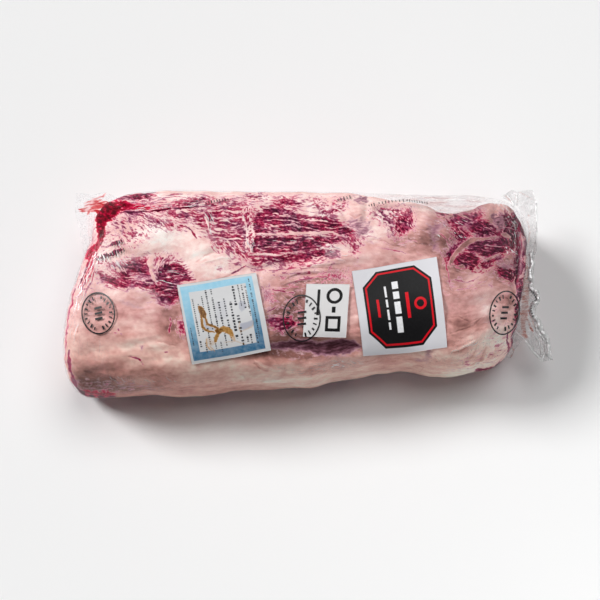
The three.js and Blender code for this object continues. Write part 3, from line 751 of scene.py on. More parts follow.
def photo_fields(px, py, facing, arc):
    """Leanness, its bed, juice, membrane with painted shade in hollows, and fat tone with painted shade
    and light, at places in the photograph.

    `facing` is 1 where the surface faces the photograph's camera and 0 where it turns away, and
    `arc` the way round the section in pixels, along which the finer noise runs.
    """
    bed, juice, membrane_and_shade = (np.zeros(px.shape) for _ in range(3))
    ragged_x, ragged_y = (1.5 * layered(px / 8, arc / 8, seed, 3) for seed in (71, 72))
    wx, wy = px + ragged_x, py + ragged_y * np.clip(1.3 * facing, 0.1, 1)
    nx, ny = px + ragged_x, arc + ragged_y
    # red veins and short streaks in the fat
    veiny = np.clip(zone(px, py, VEINY), 0, 1)
    veins = ramp(0.07, 0.0, np.abs(layered(nx / 15, ny / 9, 81, 3)))
    hairs = ramp(0.05, 0.0, np.abs(layered(nx / 20, ny / 5, 82, 3)))
    blots = ramp(0.10, 0.40, layered(nx / 8, ny / 3.4, 83, 3))
    flesh = veiny * np.clip(0.24 * veins + 0.20 * hairs + 0.42 * blots, 0, 0.6)
    for k, (outline, grain, white, long, wide, dark, ragged) in enumerate(LEAN):
        near = near_to(px, py, outline, 9)
        if not near.any():
            continue
        broad, thin, fleck, speck = lean_streaks(px[near], py[near], grain, long, wide, 100 + 20 * k)
        streak = 0.60 * broad + 0.34 * thin + 0.16 * fleck
        depth = outline_depth(wx[near], wy[near], outline) + 0.6
        depth = depth + ragged * (3.6 * broad + 2.2 * thin)
        cover = ramp(-0.9, 1.1, depth)
        limit = 0.33 - 0.54 * white
        pale = ramp(limit - 0.07, limit + 0.11, streak)
        line = ramp(0.05, 0.0, np.abs(broad + 0.04)) * (0.3 + white)
        body = dark * (0.76 - 0.95 * thin - 0.62 * fleck - 0.40 * broad) - 0.12 * ramp(3.0, 0.0, depth)
        flecks = ramp(0.16, 0.42, speck + 0.25 * fleck) * (0.35 + 0.9 * white)
        value = np.clip(body, 0.14, 0.95) * (1 - 0.84 * pale) * (1 - 0.62 * np.clip(line, 0, 1))
        value = value * (1 - 0.75 * np.clip(flecks, 0, 1)) + 0.05 * flecks
        halo = (0.18 + 0.3 * dark) * ramp(-6.5, 0.5, depth) * ramp(-0.06, 0.18, thin + 0.5 * fleck)
        around = np.maximum(flesh[near], halo)
        flesh[near] = around * (1 - cover) + value * cover
        bed[near] = np.maximum(bed[near], cover * (1 - 0.6 * pale))
    for outline in PALE:
        near = near_to(px, py, outline, 5)
        cover = ramp(-0.6, 0.9, outline_depth(wx[near], wy[near], outline))
        flesh[near] *= 1 - 0.92 * cover
        bed[near] *= 1 - cover
    for width, line in PALE_STROKES:
        near = near_to(px, py, line, 5)
        wide = width * (0.75 + 0.9 * layered(px[near] / 9, py[near] / 9, 92))
        cover = stroke_cover(wx[near], wy[near], line, wide)
        flesh[near] *= 1 - 0.80 * cover
        bed[near] *= 1 - 0.8 * cover
    for width, dark, line in DARK_STROKES:
        near = near_to(px, py, line, 5)
        wide = width * (0.85 + 1.2 * layered(px[near] / 7, py[near] / 7, 91))
        cover = stroke_cover(wx[near], wy[near], line, wide)
        flesh[near] = flesh[near] * (1 - cover) + dark * cover
    for outline, strength in JUICE:
        near = near_to(px, py, outline, 6)
        depth = outline_depth(wx[near], wy[near], outline)
        wisps = layered(px[near] / 7 + py[near] / 9, py[near] / 3 - px[near] / 8, 31, 3)
        depth = depth + 4.0 * wisps
        juice[near] = np.maximum(juice[near], strength * (1 - 1.3 * wisps) * ramp(-0.8, 1.8, depth))
    for width, strength, line in JUICE_STROKES:
        near = near_to(px, py, line, 6)
        wide = width * (1 + 1.4 * layered(px[near] / 5, py[near] / 5, 36))
        cover = stroke_cover(wx[near], wy[near], line, wide)
        threads = 1 - 0.8 * np.clip(layered(px[near] / 3, py[near] / 3, 37), 0, 1)
        juice[near] = np.maximum(juice[near], strength * cover * threads)
    for outline, strength, ragged in SILVER_AND_HOLLOW_SHADE:
        near = near_to(px, py, outline, 6)
        depth = outline_depth(wx[near], wy[near], outline)
        lines = layered(px[near] / 8, py[near] / 1.9 + px[near] / 9, 33)
        depth = depth + ragged * (5 * lines + 4 * layered(px[near] / 4, py[near] / 3, 34))
        streaky = 1 - (0.3 + 0.9 * min(ragged, 1)) * lines
        membrane_and_shade[near] = np.maximum(membrane_and_shade[near], strength * streaky * ramp(-2.5, 3.0, depth))
    tone_and_shade = zone(px, py, FAT_TONE_AND_SHADING)
    for width, change, line in CREASE_SHADE_AND_HIGHLIGHTS:
        near = near_to(px, py, line, 6)
        tone_and_shade[near] += change * stroke_cover(wx[near], wy[near], line, width)
    tone_and_shade += 0.85 * layered(nx / 34, ny / 18, 95, 4) + 0.45 * layered(nx / 7, ny / 4, 96, 3)
    return flesh, bed, juice, membrane_and_shade, tone_and_shade


RIB_PITCH = 37.0
EYE_Y, EYE_Z, EYE_WIDE, EYE_HIGH = 4, 44, 62.0, 34.0  # middle and reach of the eye at both ends


def end_face(share, normal):
    """1 on the two cut ends and 0 on the sides."""
    return ramp(0.95, 0.86, share) * ramp(0.50, 0.72, np.abs(normal[..., 0]))


def hidden_fields(points, share, normal):
    """Leanness, streaks and membrane where the photograph can't see: ends, far side, underside."""
    x, y, z = points[..., 0], points[..., 1], points[..., 2]
    wx, wz = x + 7 * layered(x / 17, z / 17, 411, 2), z + 6 * layered(x / 17, z / 17, 412, 2)
    streaks = layered(wx / 30, (y + wz) / 8.0, 401, 2)
    blotch = layered(wx / 46, (y * 0.7 + wz) / 24, 402, 3)
    side = ramp(-0.04, 0.16, blotch + 0.22 * streaks) * (0.62 + 0.3 * streaks)
    side = side * (1 - 0.85 * ramp(0.10, 0.34, streaks))
    # the underside keeps the shallow grooves where the ribs were
    under = ramp(-0.55, -0.85, normal[..., 2])
    ribs = np.sin(2 * np.pi * (x + 0.22 * y) / RIB_PITCH)
    rib_lean = ramp(-0.5, 0.15, ribs + 0.5 * layered(x / 18, y / 30, 403, 2))
    rib_flesh = rib_lean * (0.62 + 0.3 * layered(x / 5, y / 40, 404, 3))
    rib_flesh = rib_flesh * (1 - 0.85 * ramp(0.16, 0.4, layered(x / 6, y / 46, 405, 3)))
    # the cut ends show the eye, the cap round it and the seam of fat between them
    end = end_face(share, normal)
    ey, ez = (y - EYE_Y) / EYE_WIDE, (z - EYE_Z) / EYE_HIGH
    radius = np.hypot(ey, ez) + 0.10 * layered(y / 22, z / 22, 406, 2)
    seam = ramp(0.10, 0.04, np.abs(radius - 0.74)) * ramp(-0.5, 0.1, ez + 0.3 * ey)
    rim = ramp(1.06, 1.16, radius)
    net = layered(y / 9, z / 5, 407, 4)
    specks = ramp(0.18, 0.34, net) + 0.8 * ramp(0.06, 0.0, np.abs(layered(y / 16, z / 11, 408, 3)))
    eye = 0.80 + 0.25 * layered(y / 12, z / 12, 409, 2)
    end_flesh = eye * (1 - 0.85 * np.clip(specks, 0, 1)) * (1 - seam) * (1 - 0.9 * rim)
    flesh = side * (1 - under) + rib_flesh * under
    flesh = flesh * (1 - end) + end_flesh * end
    membrane_and_shade = 0.5 * under * ramp(0.1, 0.5, layered(x / 30, y / 20, 410, 2))
    groove = under * (-1.2 * ramp(0.2, 0.9, ribs))
    return flesh, membrane_and_shade, groove


# ---- Meshes --------------------------------------------------------------------------------


def placed(name, data):
    """A new object that shows some data, in the scene."""
    thing = bpy.data.objects.new(name, data)
    bpy.context.scene.collection.objects.link(thing)
    return thing


def make_object(name, vertices, faces, attributes=None):
    """Mesh object at the origin from arrays of vertices in mm, of quads and of a number a vertex."""
    mesh = bpy.data.meshes.new(name)
    vertices, faces = np.asarray(vertices).reshape(-1, 3), np.asarray(faces).reshape(-1, 4)
    mesh.vertices.add(len(vertices))
    mesh.vertices.foreach_set("co", (vertices * MM).astype(np.float32).ravel())
    mesh.loops.add(faces.size)
    mesh.loops.foreach_set("vertex_index", faces.astype(np.int32).ravel())
    mesh.polygons.add(len(faces))
    mesh.polygons.foreach_set("loop_start", np.arange(0, faces.size, 4, dtype=np.int32))
    mesh.polygons.foreach_set("use_smooth", np.ones(len(faces), bool))
    mesh.update(calc_edges=True)
    for key, values in (attributes or {}).items():
        layer = mesh.attributes.new(key, "FLOAT", "POINT")
        layer.data.foreach_set("value", np.asarray(values, np.float32).ravel())
    mesh.validate()
    return placed(name, mesh)


def grid_faces(rows, columns, closed=False):
    """Quads of a grid of rows by columns of vertices, joined round when closed."""
    index = np.arange(rows * columns).reshape(rows, columns)
    if closed:
        index = np.concatenate([index, index[:, :1]], 1)
    corners = [index[:-1, :-1], index[:-1, 1:], index[1:, 1:], index[1:, :-1]]
    return np.stack(corners, -1).reshape(-1, 4)


def add_piece(piece, material, node="sealed_ribeye"):
    """Gives a piece its material, slot and body, and hides the node that it stands for."""
    piece.data.materials.append(material)
    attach(piece, "root")
    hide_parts(node)


TRIAL_STEPS = 6001  # along a line that is measured before it is cut up


def cut_up(line, steps, fineness, fine, coarse, closed):
    """Places on a line, `fine` mm apart where its fineness is 1 and `coarse` where it is 0."""
    count = np.concatenate([[0], np.cumsum(steps * (fineness / fine + (1 - fineness) / coarse))])
    total = int(round(count[-1]))
    return np.interp(np.arange(total if closed else total + 1) * count[-1] / total, count, line)


def spread_angles(fine, coarse):
    """Angles round the section, `fine` mm apart above and on the near side, `coarse` below."""
    angle = np.linspace(0, 2 * np.pi, TRIAL_STEPS)
    points = pack_point(np.full(angle.shape, MERIDIAN / 2), angle)
    steps = np.linalg.norm(np.diff(points, axis=0), axis=-1)
    height = (points[1:, 2] + points[:-1, 2]) / 2
    near = points[1:, 1] < 0
    fineness = ramp(np.where(near, 8, 45), np.where(near, 22, 62), height)
    return cut_up(angle, steps, fineness, fine, coarse, True)


def spread_lengths(fine, coarse):
    """Lengths along the meridian, `fine` mm apart on the side and `coarse` on the end faces."""
    length = np.linspace(0, MERIDIAN, TRIAL_STEPS)
    middle = (length[1:] + length[:-1]) / 2
    from_pole = np.minimum(middle, MERIDIAN - middle)
    fineness = ramp(FLAT_END - 22, FLAT_END - 6, from_pole)
    length = cut_up(length, np.diff(length), fineness, fine, coarse, False)
    length[0], length[-1] = POLE_GAP, MERIDIAN - POLE_GAP
    return length


# ---- Materials -----------------------------------------------------------------------------


def linear(*channels):
    """Screen colour from 0 to 255 as linear light, opaque."""
    shares = [c / 255 for c in channels]
    return [c / 12.92 if c <= 0.04045 else ((c + 0.055) / 1.055) ** 2.4 for c in shares] + [1.0]


WHITE = linear(255, 255, 255)
NEAR_CLEAR = (0.99, 0.99, 0.99, 1)
SEAL_TINT, FLAP_TINT = (0.82, 0.81, 0.815, 1), (0.955, 0.955, 0.965, 1)
# Thin and deep juice under film.
FILM_BLOOD = linear(214, 150, 140), linear(120, 30, 34)
SEAL_BLOOD = linear(218, 140, 120), linear(120, 30, 34)
FLAP_BLOOD = linear(255, 112, 112), linear(164, 0, 36)


class Finish:
    """A node material built line by line."""

    def __init__(self, name):
        """An empty material with an output."""
        self.material = bpy.data.materials.new(name)
        self.material.use_nodes = True
        self.tree = self.material.node_tree
        self.tree.nodes.clear()
        self.output = self.tree.nodes.new("ShaderNodeOutputMaterial")
        self.place = self.tree.nodes.new("ShaderNodeTexCoord").outputs["Object"]

    def node(self, kind, **settings):
        """A new node with its settings."""
        node = self.tree.nodes.new("ShaderNode" + kind)
        for key, value in settings.items():
            setattr(node, key, value)
        return node

    def feed(self, socket, value):
        """A link from another node, or a plain value."""
        if isinstance(value, bpy.types.NodeSocket):
            self.tree.links.new(value, socket)
        else:
            socket.default_value = value

    def attribute(self, name):
        """A value stored at the vertices."""
        return self.node("Attribute", attribute_name=name).outputs["Fac"]

    def math(self, operation, a, b=0.0, clamp=False):
        """One sum or comparison."""
        node = self.node("Math", operation=operation, use_clamp=clamp)
        self.feed(node.inputs[0], a)
        self.feed(node.inputs[1], b)
        return node.outputs[0]

    def noise(self, scale, detail=3.0, rough=0.55, stretch=None, distortion=0.0, turn=0.0):
        """Noise in object space, stretched and turned if asked."""
        source = self.place
        if stretch:
            mapping = self.node("Mapping")
            mapping.inputs["Scale"].default_value = stretch
            mapping.inputs["Rotation"].default_value = (0, 0, math.radians(turn))
            self.feed(mapping.inputs["Vector"], source)
            source = mapping.outputs[0]
        node = self.node("TexNoise")
        self.feed(node.inputs["Vector"], source)
        names = ("Scale", "Detail", "Roughness", "Distortion")
        for key, value in zip(names, (scale, detail, rough, distortion)):
            node.inputs[key].default_value = value
        return node.outputs["Fac"]

    def spread(self, value, low, high, to_low=0.0, to_high=1.0):
        """A value mapped from one range to another."""
        node = self.node("MapRange", clamp=True)
        self.feed(node.inputs["Value"], value)
        names = ("From Min", "From Max", "To Min", "To Max")
        for key, number in zip(names, (low, high, to_low, to_high)):
            node.inputs[key].default_value = number
        return node.outputs[0]

    def colours(self, value, *stops):
        """Colour ramp from stops, each a place from 0 to 1 and a screen colour."""
        node = self.node("ValToRGB")
        self.feed(node.inputs[0], value)
        elements = node.color_ramp.elements
        while len(elements) < len(stops):
            elements.new(0.5)
        for element, (position, *channels) in zip(elements, stops):
            element.position = position
            element.color = linear(*channels)
        return node.outputs[0]

    def mix(self, share, a, b, blend="MIX"):
        """Two colours mixed."""
        node = self.node("Mix", data_type="RGBA", blend_type=blend)
        self.feed(node.inputs[0], share)
        self.feed(node.inputs[6], a)
        self.feed(node.inputs[7], b)
        return node.outputs[2]

    def bump(self, height, strength, distance, below=None):
        """A normal tilted by a height, over another if one is given."""
        node = self.node("Bump")
        self.feed(node.inputs["Height"], height)
        node.inputs["Strength"].default_value = strength
        node.inputs["Distance"].default_value = distance
        if below is not None:
            self.feed(node.inputs["Normal"], below)
        return node.outputs[0]

    def shader(self, kind, **sockets):
        """A shader node with its sockets set or fed by name."""
        node = self.node(kind)
        for key, value in sockets.items():
            self.feed(node.inputs[key.replace("_", " ")], value)
        return node.outputs[0]

    def either(self, share, first, second):
        """Mix of two shaders."""
        node = self.node("MixShader")
        for socket, value in zip(node.inputs, (share, first, second)):
            self.feed(socket, value)
        return node.outputs[0]

    def finish(self, shader):
        """The material, ending in this shader."""
        self.feed(self.output.inputs["Surface"], shader)
        return self.material


def meat_finish():
    """Fat from cream to pink, lean from pink to near black, membrane with painted shade in hollows and
    juice on top, and painted shade on the right end.
    """
    m = Finish("meat")
    flesh = m.attribute("flesh")
    grit = m.noise(900, 3, 0.6)
    fibre = m.noise(420, 4, 0.6, stretch=(0.35, 1.2, 1.0), distortion=0.4)
    veins = m.noise(120, 4, 0.62, distortion=0.6)
    tone_and_shade = m.math("ADD", m.attribute("tone_and_shade"), m.spread(m.noise(26, 4, 0.6), 0.3, 0.7, -0.28, 0.28))
    tone_and_shade = m.math("ADD", tone_and_shade, m.spread(veins, 0.35, 0.65, -0.10, 0.10))
    fat = m.colours(
        m.spread(tone_and_shade, -1.0, 1.4), (0.0, 255, 250, 244), (0.22, 255, 230, 223),
        (0.44, 242, 198, 192), (0.66, 218, 163, 158), (0.85, 182, 130, 124), (1.0, 140, 96, 92),
    )
    blush = m.spread(m.noise(70, 5, 0.65, distortion=1.0), 0.50, 0.72, 0.0, 0.40)
    fat = m.mix(blush, fat, linear(214, 142, 146))
    split = m.node("SeparateXYZ")
    m.feed(split.inputs[0], m.place)
    near = m.spread(split.outputs["Y"], -0.030, -0.066)
    fat = m.mix(m.math("MULTIPLY", near, 0.8), fat, linear(255, 250, 238), "MULTIPLY")
    lean_value = m.math("ADD", flesh, m.spread(fibre, 0.3, 0.7, -0.08, 0.08))
    lean_value = m.math("ADD", lean_value, m.spread(grit, 0.3, 0.7, -0.04, 0.04))
    crimson = m.colours(
        lean_value, (0.0, 252, 226, 224), (0.14, 240, 182, 192), (0.30, 204, 104, 124),
        (0.48, 176, 44, 84), (0.68, 136, 18, 56), (0.86, 92, 10, 40), (1.0, 56, 4, 22),
    )
    purple = m.colours(
        lean_value, (0.0, 244, 220, 226), (0.16, 220, 170, 182), (0.32, 174, 104, 126),
        (0.50, 138, 60, 92), (0.70, 104, 34, 66), (0.88, 74, 22, 46), (1.0, 48, 12, 28),
    )
    dull = m.spread(m.noise(75, 5, 0.62, distortion=0.8), 0.42, 0.60)
    lean = m.mix(dull, crimson, purple)
    colour = m.mix(m.spread(flesh, 0.04, 0.22), fat, lean)
    # membrane colours, whose dark end is painted shade in the hollows
    membrane_and_shade = m.attribute("membrane_and_shade")
    membrane_and_shade_colours = m.colours(
        m.math("ADD", membrane_and_shade, m.spread(fibre, 0.35, 0.65, -0.12, 0.12)),
        (0.0, 226, 186, 192), (0.35, 186, 134, 150), (0.7, 118, 74, 88), (1.0, 72, 38, 46),
    )
    colour = m.mix(m.spread(membrane_and_shade, 0.02, 0.40), colour, membrane_and_shade_colours)
    juice = m.attribute("juice")
    red = m.colours(
        m.math("ADD", juice, m.spread(fibre, 0.3, 0.7, -0.15, 0.15)), (0.0, 240, 104, 140),
        (0.30, 212, 20, 74), (0.60, 160, 2, 44), (0.84, 122, 0, 28), (1.0, 84, 0, 18),
    )
    colour = m.mix(m.spread(juice, 0.0, 0.30), colour, red)
    # painted shade: colours darkened towards the right end
    right_end_shade = m.math("MULTIPLY", m.spread(split.outputs["X"], 0.080, 0.150),
                   m.spread(split.outputs["Y"], -0.030, 0.020))
    colour = m.mix(m.math("MULTIPLY", right_end_shade, 0.36), colour, linear(178, 160, 162), "MULTIPLY")
    rough = m.spread(flesh, 0.0, 0.6, 0.60, 0.50)
    normal = m.bump(fibre, 0.30, 0.0007)
    normal = m.bump(m.noise(110, 2, 0.45), 0.25, 0.0014, normal)
    return m.finish(m.shader(
        "BsdfPrincipled", Base_Color=colour, Roughness=rough, Normal=normal,
        Specular_IOR_Level=0.05,
    ))


def film_finish(name, tint, haze_colour, rough, wrinkle, shine, juice=FILM_BLOOD):
    """Clear gloss: see-through but for reflections, painted glints on creases with painted shade beside
    them, haze with painted glare, and traces of juice.
    """
    m = Finish(name)
    haze, blood, fold = m.attribute("haze"), m.attribute("blood"), m.attribute("fold")
    # painted glints: crease lines run along, across, or slantwise, each family where its attribute says,
    # and add pale haze
    for key, turn, stretch in (
        ("along", 0.0, (0.30, 1.5, 1.0)),
        ("across", 0.0, (1.5, 0.30, 1.0)),
        ("slant", -48, (1.6, 0.42, 1.0)),
    ):
        ridge = m.noise(150, 4, 0.62, stretch, 0.7, turn)
        sharp = m.math("ABSOLUTE", m.math("SUBTRACT", ridge, 0.5))
        glint = m.math("MULTIPLY", m.spread(sharp, 0.0, 0.016, 1.0, 0.0), m.attribute(key))
        haze = m.math("ADD", haze, glint, clamp=True)
    haze = m.math("MAXIMUM", haze, m.math("MULTIPLY", blood, 0.75))
    haze = m.math("MAXIMUM", haze, m.math("MULTIPLY", fold, 0.5))
    normal = m.noise(110, 5, 0.7, (1.0, 1.7, 1.0), 1.2)
    normal = m.bump(normal, wrinkle, 0.0012)
    facing = m.node("LayerWeight")
    facing.inputs["Blend"].default_value = 0.5
    m.feed(facing.inputs["Normal"], normal)
    edge = m.math("POWER", facing.outputs["Facing"], 5.0)
    mirror = m.math("ADD", m.math("MULTIPLY", edge, 0.16), shine)
    mirror = m.math("MULTIPLY", mirror, m.attribute("gloss"), clamp=True)
    # painted shade: dark grey lines beside the creases, where the haze is pale
    pale = m.mix(fold, haze_colour, linear(52, 46, 54))
    pale = m.mix(m.spread(blood, 0.0, 0.3), pale, m.mix(m.spread(blood, 0.1, 0.8), *juice))
    clear = m.mix(m.spread(blood, 0.0, 0.8), tint, juice[0])
    hazed = m.either(
        haze, m.shader("BsdfTransparent", Color=clear), m.shader("BsdfDiffuse", Color=pale)
    )
    gloss = m.shader("BsdfGlossy", Roughness=rough, Normal=normal)
    return m.finish(m.either(mirror, hazed, gloss))


def paper_finish(name, white, inks, rough, coat):
    """Paper with inks: each ink's attribute is its depth in mm, positive where it is printed."""
    m = Finish(name)
    colour = m.mix(m.noise(45, 4, 0.6), white, [c * 0.90 for c in white[:3]] + [1])
    colour = m.mix(m.attribute("grey"), colour, linear(176, 178, 190))
    for ink, shade, other in inks:
        if ink == "blue":
            tint = m.mix(m.attribute("shade"), shade, other)
            mottle = m.spread(m.noise(240, 3, 0.6), 0.35, 0.65, 0.0, 0.16)
            tint = m.mix(mottle, tint, linear(225, 238, 245))
        else:
            tint = m.mix(m.spread(m.noise(700, 3, 0.6), 0.4, 0.8), shade, other)
        colour = m.mix(m.spread(m.attribute(ink), -0.12, 0.12), colour, tint)
    stain = m.attribute("stain")
    brown = m.mix(m.spread(stain, 0.35, 0.95), linear(200, 150, 82), linear(104, 62, 16))
    colour = m.mix(m.spread(stain, 0.0, 0.5), colour, brown)
    normal = m.bump(m.noise(90, 3, 0.5), 0.3, 0.0012)
    return m.finish(m.shader(
        "BsdfPrincipled", Base_Color=colour, Roughness=rough, Normal=normal, Coat_Weight=coat,
        Coat_Roughness=0.2, Specular_IOR_Level=0.2,
    ))


def ink_finish():
    """Black stamping ink, a little uneven."""
    m = Finish("ink")
    colour = m.mix(m.noise(500, 3, 0.6), linear(6, 5, 8), linear(30, 26, 32))
    return m.finish(m.shader("BsdfPrincipled", Base_Color=colour, Roughness=0.4))


def floor_finish():
    """Matt pale grey."""
    m = Finish("floor")
    colour = m.mix(m.noise(3, 2, 0.5), linear(243, 243, 243), linear(244, 244, 244))
    return m.finish(
        m.shader("BsdfPrincipled", Base_Color=colour, Roughness=0.9, Specular_IOR_Level=0.0)
    )


# ---- Meat ----------------------------------------------------------------------------------

MEAT_LIFT = -0.9  # below the film
# Hollows in the meat: middle, reach along and across in pixels, turn, and depth in mm.
HOLLOWS = [
    (312, 348, 64, 8, 2, 2.6),
    (268, 352, 40, 7, 6, 1.2),
    (170, 318, 9, 26, 0, 1.4),
    (118, 306, 20, 8, -16, 0.8),
    (290, 284, 40, 3, 8, 1.2),
    (318, 274, 34, 3, 6, 1.2),
    (205, 254, 26, 4, 20, 1.0),
    (345, 214, 4, 12, 20, 1.4),
    (366, 212, 4, 14, -10, 1.6),
    (436, 236, 6, 16, 4, 1.8),
    (470, 212, 5, 12, 20, 1.2),
    (496, 212, 4, 12, -10, 1.2),
    (449, 250, 4, 14, 30, 1.2),
    (380, 244, 40, 4, -6, 1.0),
    (150, 342, 30, 4, 14, 0.7),
    (140, 362, 40, 4, 8, 0.9),
    (112, 372, 34, 5, 8, 1.0),
    (428, 356, 3, 10, 0, 1.0),
    (488, 346, 4, 16, -30, 1.2),
    (446, 306, 5, 22, 8, 0.9),
    (300, 262, 50, 3, 8, 0.8),
]
# The meat's top falls away to the right: x and depth in mm.
RIGHT_FALL = [(104, 0), (124, 0.8), (144, 2.2), (164, 4.6), (178, 7), (186, 8)]
MEAT_FINE, MEAT_COARSE = ((0.625, 2.5))
MEAT_BLOCKS = 4


MEAT_HIGHEST = -0.35  # mm from the film, so that the two never touch


def make_meat():
    """The meat's skin: the pack's surface drawn in a little, with relief by what lies there."""
    material = meat_finish()
    fall = curve_through(RIGHT_FALL)
    lengths = spread_lengths(MEAT_FINE, MEAT_COARSE * 0.8)
    angles = spread_angles(MEAT_FINE, MEAT_COARSE)
    cuts = np.linspace(0, len(lengths) - 1, MEAT_BLOCKS + 1).astype(int)
    round_middle = pack_point(np.full(angles.shape, MERIDIAN / 2), angles)
    steps = np.linalg.norm(np.diff(round_middle, axis=0), axis=-1)
    arcs = np.concatenate([[0], np.cumsum(steps)]) * PX_PER_MM
    for block, (first, last) in enumerate(zip(cuts[:-1], cuts[1:])):
        length, angle = np.meshgrid(lengths[first : last + 1], angles, indexing="ij")
        points = pack_point(length, angle, dipped=True)
        normal = pack_normal(length, angle, dipped=True)
        share = meridian_at(length)[1]
        px, py = photo_place(points)
        x, y, z = points[..., 0], points[..., 1], points[..., 2]
        facing = normal[..., 2] * TILT_SIN - normal[..., 1] * TILT_COS
        flesh, bed, juice, membrane_and_shade, tone_and_shade = photo_fields(px, py, facing, arcs + 0 * length)
        # where the near side turns under, lean shows below the fat
        near_side = ramp(0.3, 0.8, -normal[..., 1])
        flesh = flesh * (1 - 0.6 * ramp(0.20, 0.05, facing) * near_side)
        turned = ramp(0.13, 0.0, facing) * near_side
        flesh = np.maximum(flesh, 0.50 * turned * (0.7 + 0.8 * layered(x / 14, z / 7, 413, 3)))
        seen = ramp(-0.14, 0.05, facing) * (1 - end_face(share, normal))
        hid_flesh, hid_silver, groove = hidden_fields(points, share, normal)
        flesh = flesh * seen + hid_flesh * (1 - seen)
        membrane_and_shade = membrane_and_shade * seen + hid_silver * (1 - seen)
        juice = juice * seen * ramp(-0.05, 0.22, facing)
        low_side = ramp(60, 12, z) * ramp(0.2, 0.9, np.abs(normal[..., 1]))
        hid_tone = 0.25 + 0.6 * layered((x + y) / 22, z / 16, 414, 4)
        tone_and_shade = tone_and_shade * seen + hid_tone * (1 - seen) + 0.35 * low_side
        soft = layered(x / 30, (y + 0.6 * z) / 18, 501, 2)
        relief = 2.2 * soft + 0.16 * layered(x / 6, (y + z) / 4.5, 502, 2)
        relief = relief - seen * zone(px, py, HOLLOWS) - fall(x) * normal[..., 2].clip(0, 1)
        creases = np.zeros(px.shape)
        for width, change, line in CREASE_SHADE_AND_HIGHLIGHTS:
            near = near_to(px, py, line, 8)
            creases[near] += np.clip(change, -0.5, 1) * stroke_cover(px[near], py[near], line, width * 1.6)
        relief = relief - 0.9 * creases * seen
        relief = relief - 0.75 * bed * seen + 0.30 * (1 - flesh) * bed * seen
        relief = relief + groove - 0.25 * flesh * (1 - seen)
        floor_gap = ramp(0.0, 3.0, z)
        lift = np.minimum(MEAT_LIFT + relief, MEAT_HIGHEST)
        vertices = points + normal * (lift * (0.25 + 0.75 * floor_gap))[..., None]
        rows, columns = length.shape
        piece = make_object(
            "meat_%d" % (block + 1), vertices, grid_faces(rows, columns, closed=True),
            {"flesh": flesh, "tone_and_shade": tone_and_shade, "juice": juice, "membrane_and_shade": membrane_and_shade},
        )
        add_piece(piece, material)


# ---- Film ----------------------------------------------------------------------------------

FILM_STEP = 1.7
# Where the film shows painted glare, where it is matt, and where painted glints of creases lie: middle,
# reach along and across, turn, strength.
GLARE_PATCHES = [(340, 364, 34, 6, 4, 1.8), (272, 382, 16, 4, 0, 1.2), (132, 384, 34, 8, -6, 0.6),
         (120, 262, 18, 8, 10, 0.8)]
MATT = [(102, 214, 16, 20, -10, 1.3), (124, 205, 24, 7, 0, 0.8)]
GLINTS_ALONG = [(312, 368, 50, 7, 4, 0.40), (230, 388, 60, 6, 0, 0.22), (180, 202, 70, 6, 0, 0.40),
                 (140, 390, 46, 7, -4, 0.20), (466, 366, 34, 8, 12, 0.30)]
GLINTS_ACROSS = [(518, 230, 10, 40, 0, 0.45), (90, 276, 10, 36, -20, 0.45), (508, 330, 10, 30, 0, 0.3)]
GLINTS_SLANT = [(138, 386, 36, 10, -4, 0.45), (118, 262, 18, 10, 10, 0.5),
                 (466, 350, 34, 12, 20, 0.30), (500, 206, 22, 10, 0, 0.40)]
NO_FIELDS = dict.fromkeys(("haze", "along", "across", "slant", "blood", "fold"), 0.0)


def add_film(name, vertices, faces, material, **fields):
    """A piece of film. A field that isn't given is 0, but for the gloss, which is 1."""
    vertices = vertices.reshape(-1, 3)
    fields = {**NO_FIELDS, "gloss": 1.0, **fields}
    for key, value in fields.items():
        fields[key] = np.broadcast_to(np.clip(np.ravel(value), 0, 1), len(vertices))
    piece = make_object(name, vertices, faces, fields)
    add_piece(piece, material)


def make_film():
    """The tight film: the pack's own surface with fine wrinkles, deeper at the ends."""
    material = film_finish("clear_film", NEAR_CLEAR, linear(240, 238, 240), 0.16, 0.40, 0.004)
    lengths = spread_lengths(FILM_STEP, FILM_STEP * 1.6)
    angles = spread_angles(FILM_STEP, FILM_STEP * 1.7)
    length, angle = np.meshgrid(lengths, angles, indexing="ij")
    points = pack_point(length, angle)
    normal = pack_normal(length, angle)
    x, y, z = points[..., 0], points[..., 1], points[..., 2]
    share = meridian_at(length)[1]
    at_end = ramp(1.0, 0.80, share) + 0.6 * ramp(28, 4, END_RIGHT - np.abs(x))
    pleats = np.abs(noise(angle * 7.5, x / 60, 601)) + 0.5 * np.abs(noise(angle * 17, x / 40, 602))
    lines = np.abs(layered(x / 30, (y * 0.8 + z) / 6.0, 603, 3))
    lift = 0.05 + 0.35 * at_end * (0.5 - pleats) + 0.16 * (0.35 - lines)
    keep_down = ramp(0.0, 4.0, z)
    vertices = points + normal * (np.clip(lift, -0.3, 0.45) * keep_down)[..., None]
    px, py = photo_place(points)
    seen = ramp(-0.1, 0.2, normal[..., 2])
    bridged = ramp(1.0, 8.0, far_dip(x)) * ramp(52, 78, y)
    gloss = np.clip(1 - zone(px, py, MATT), 0.05, 1)
    # haze here holds painted glare in the glare patches, and the three crease families hold painted glints
    add_film(
        "film", vertices, grid_faces(*length.shape, closed=True), material,
        haze=gloss * (0.22 * bridged + 0.05 * at_end) + 0.10 * seen * zone(px, py, GLARE_PATCHES),
        along=0.34 * bridged + seen * zone(px, py, GLINTS_ALONG),
        across=gloss * 0.25 * at_end + seen * zone(px, py, GLINTS_ACROSS),
        slant=seen * zone(px, py, GLINTS_SLANT),
        blood=0.16 * bridged * ramp(0.0, 0.3, layered(px / 30, py / 2.5, 641, 2)),
        gloss=gloss,
    )


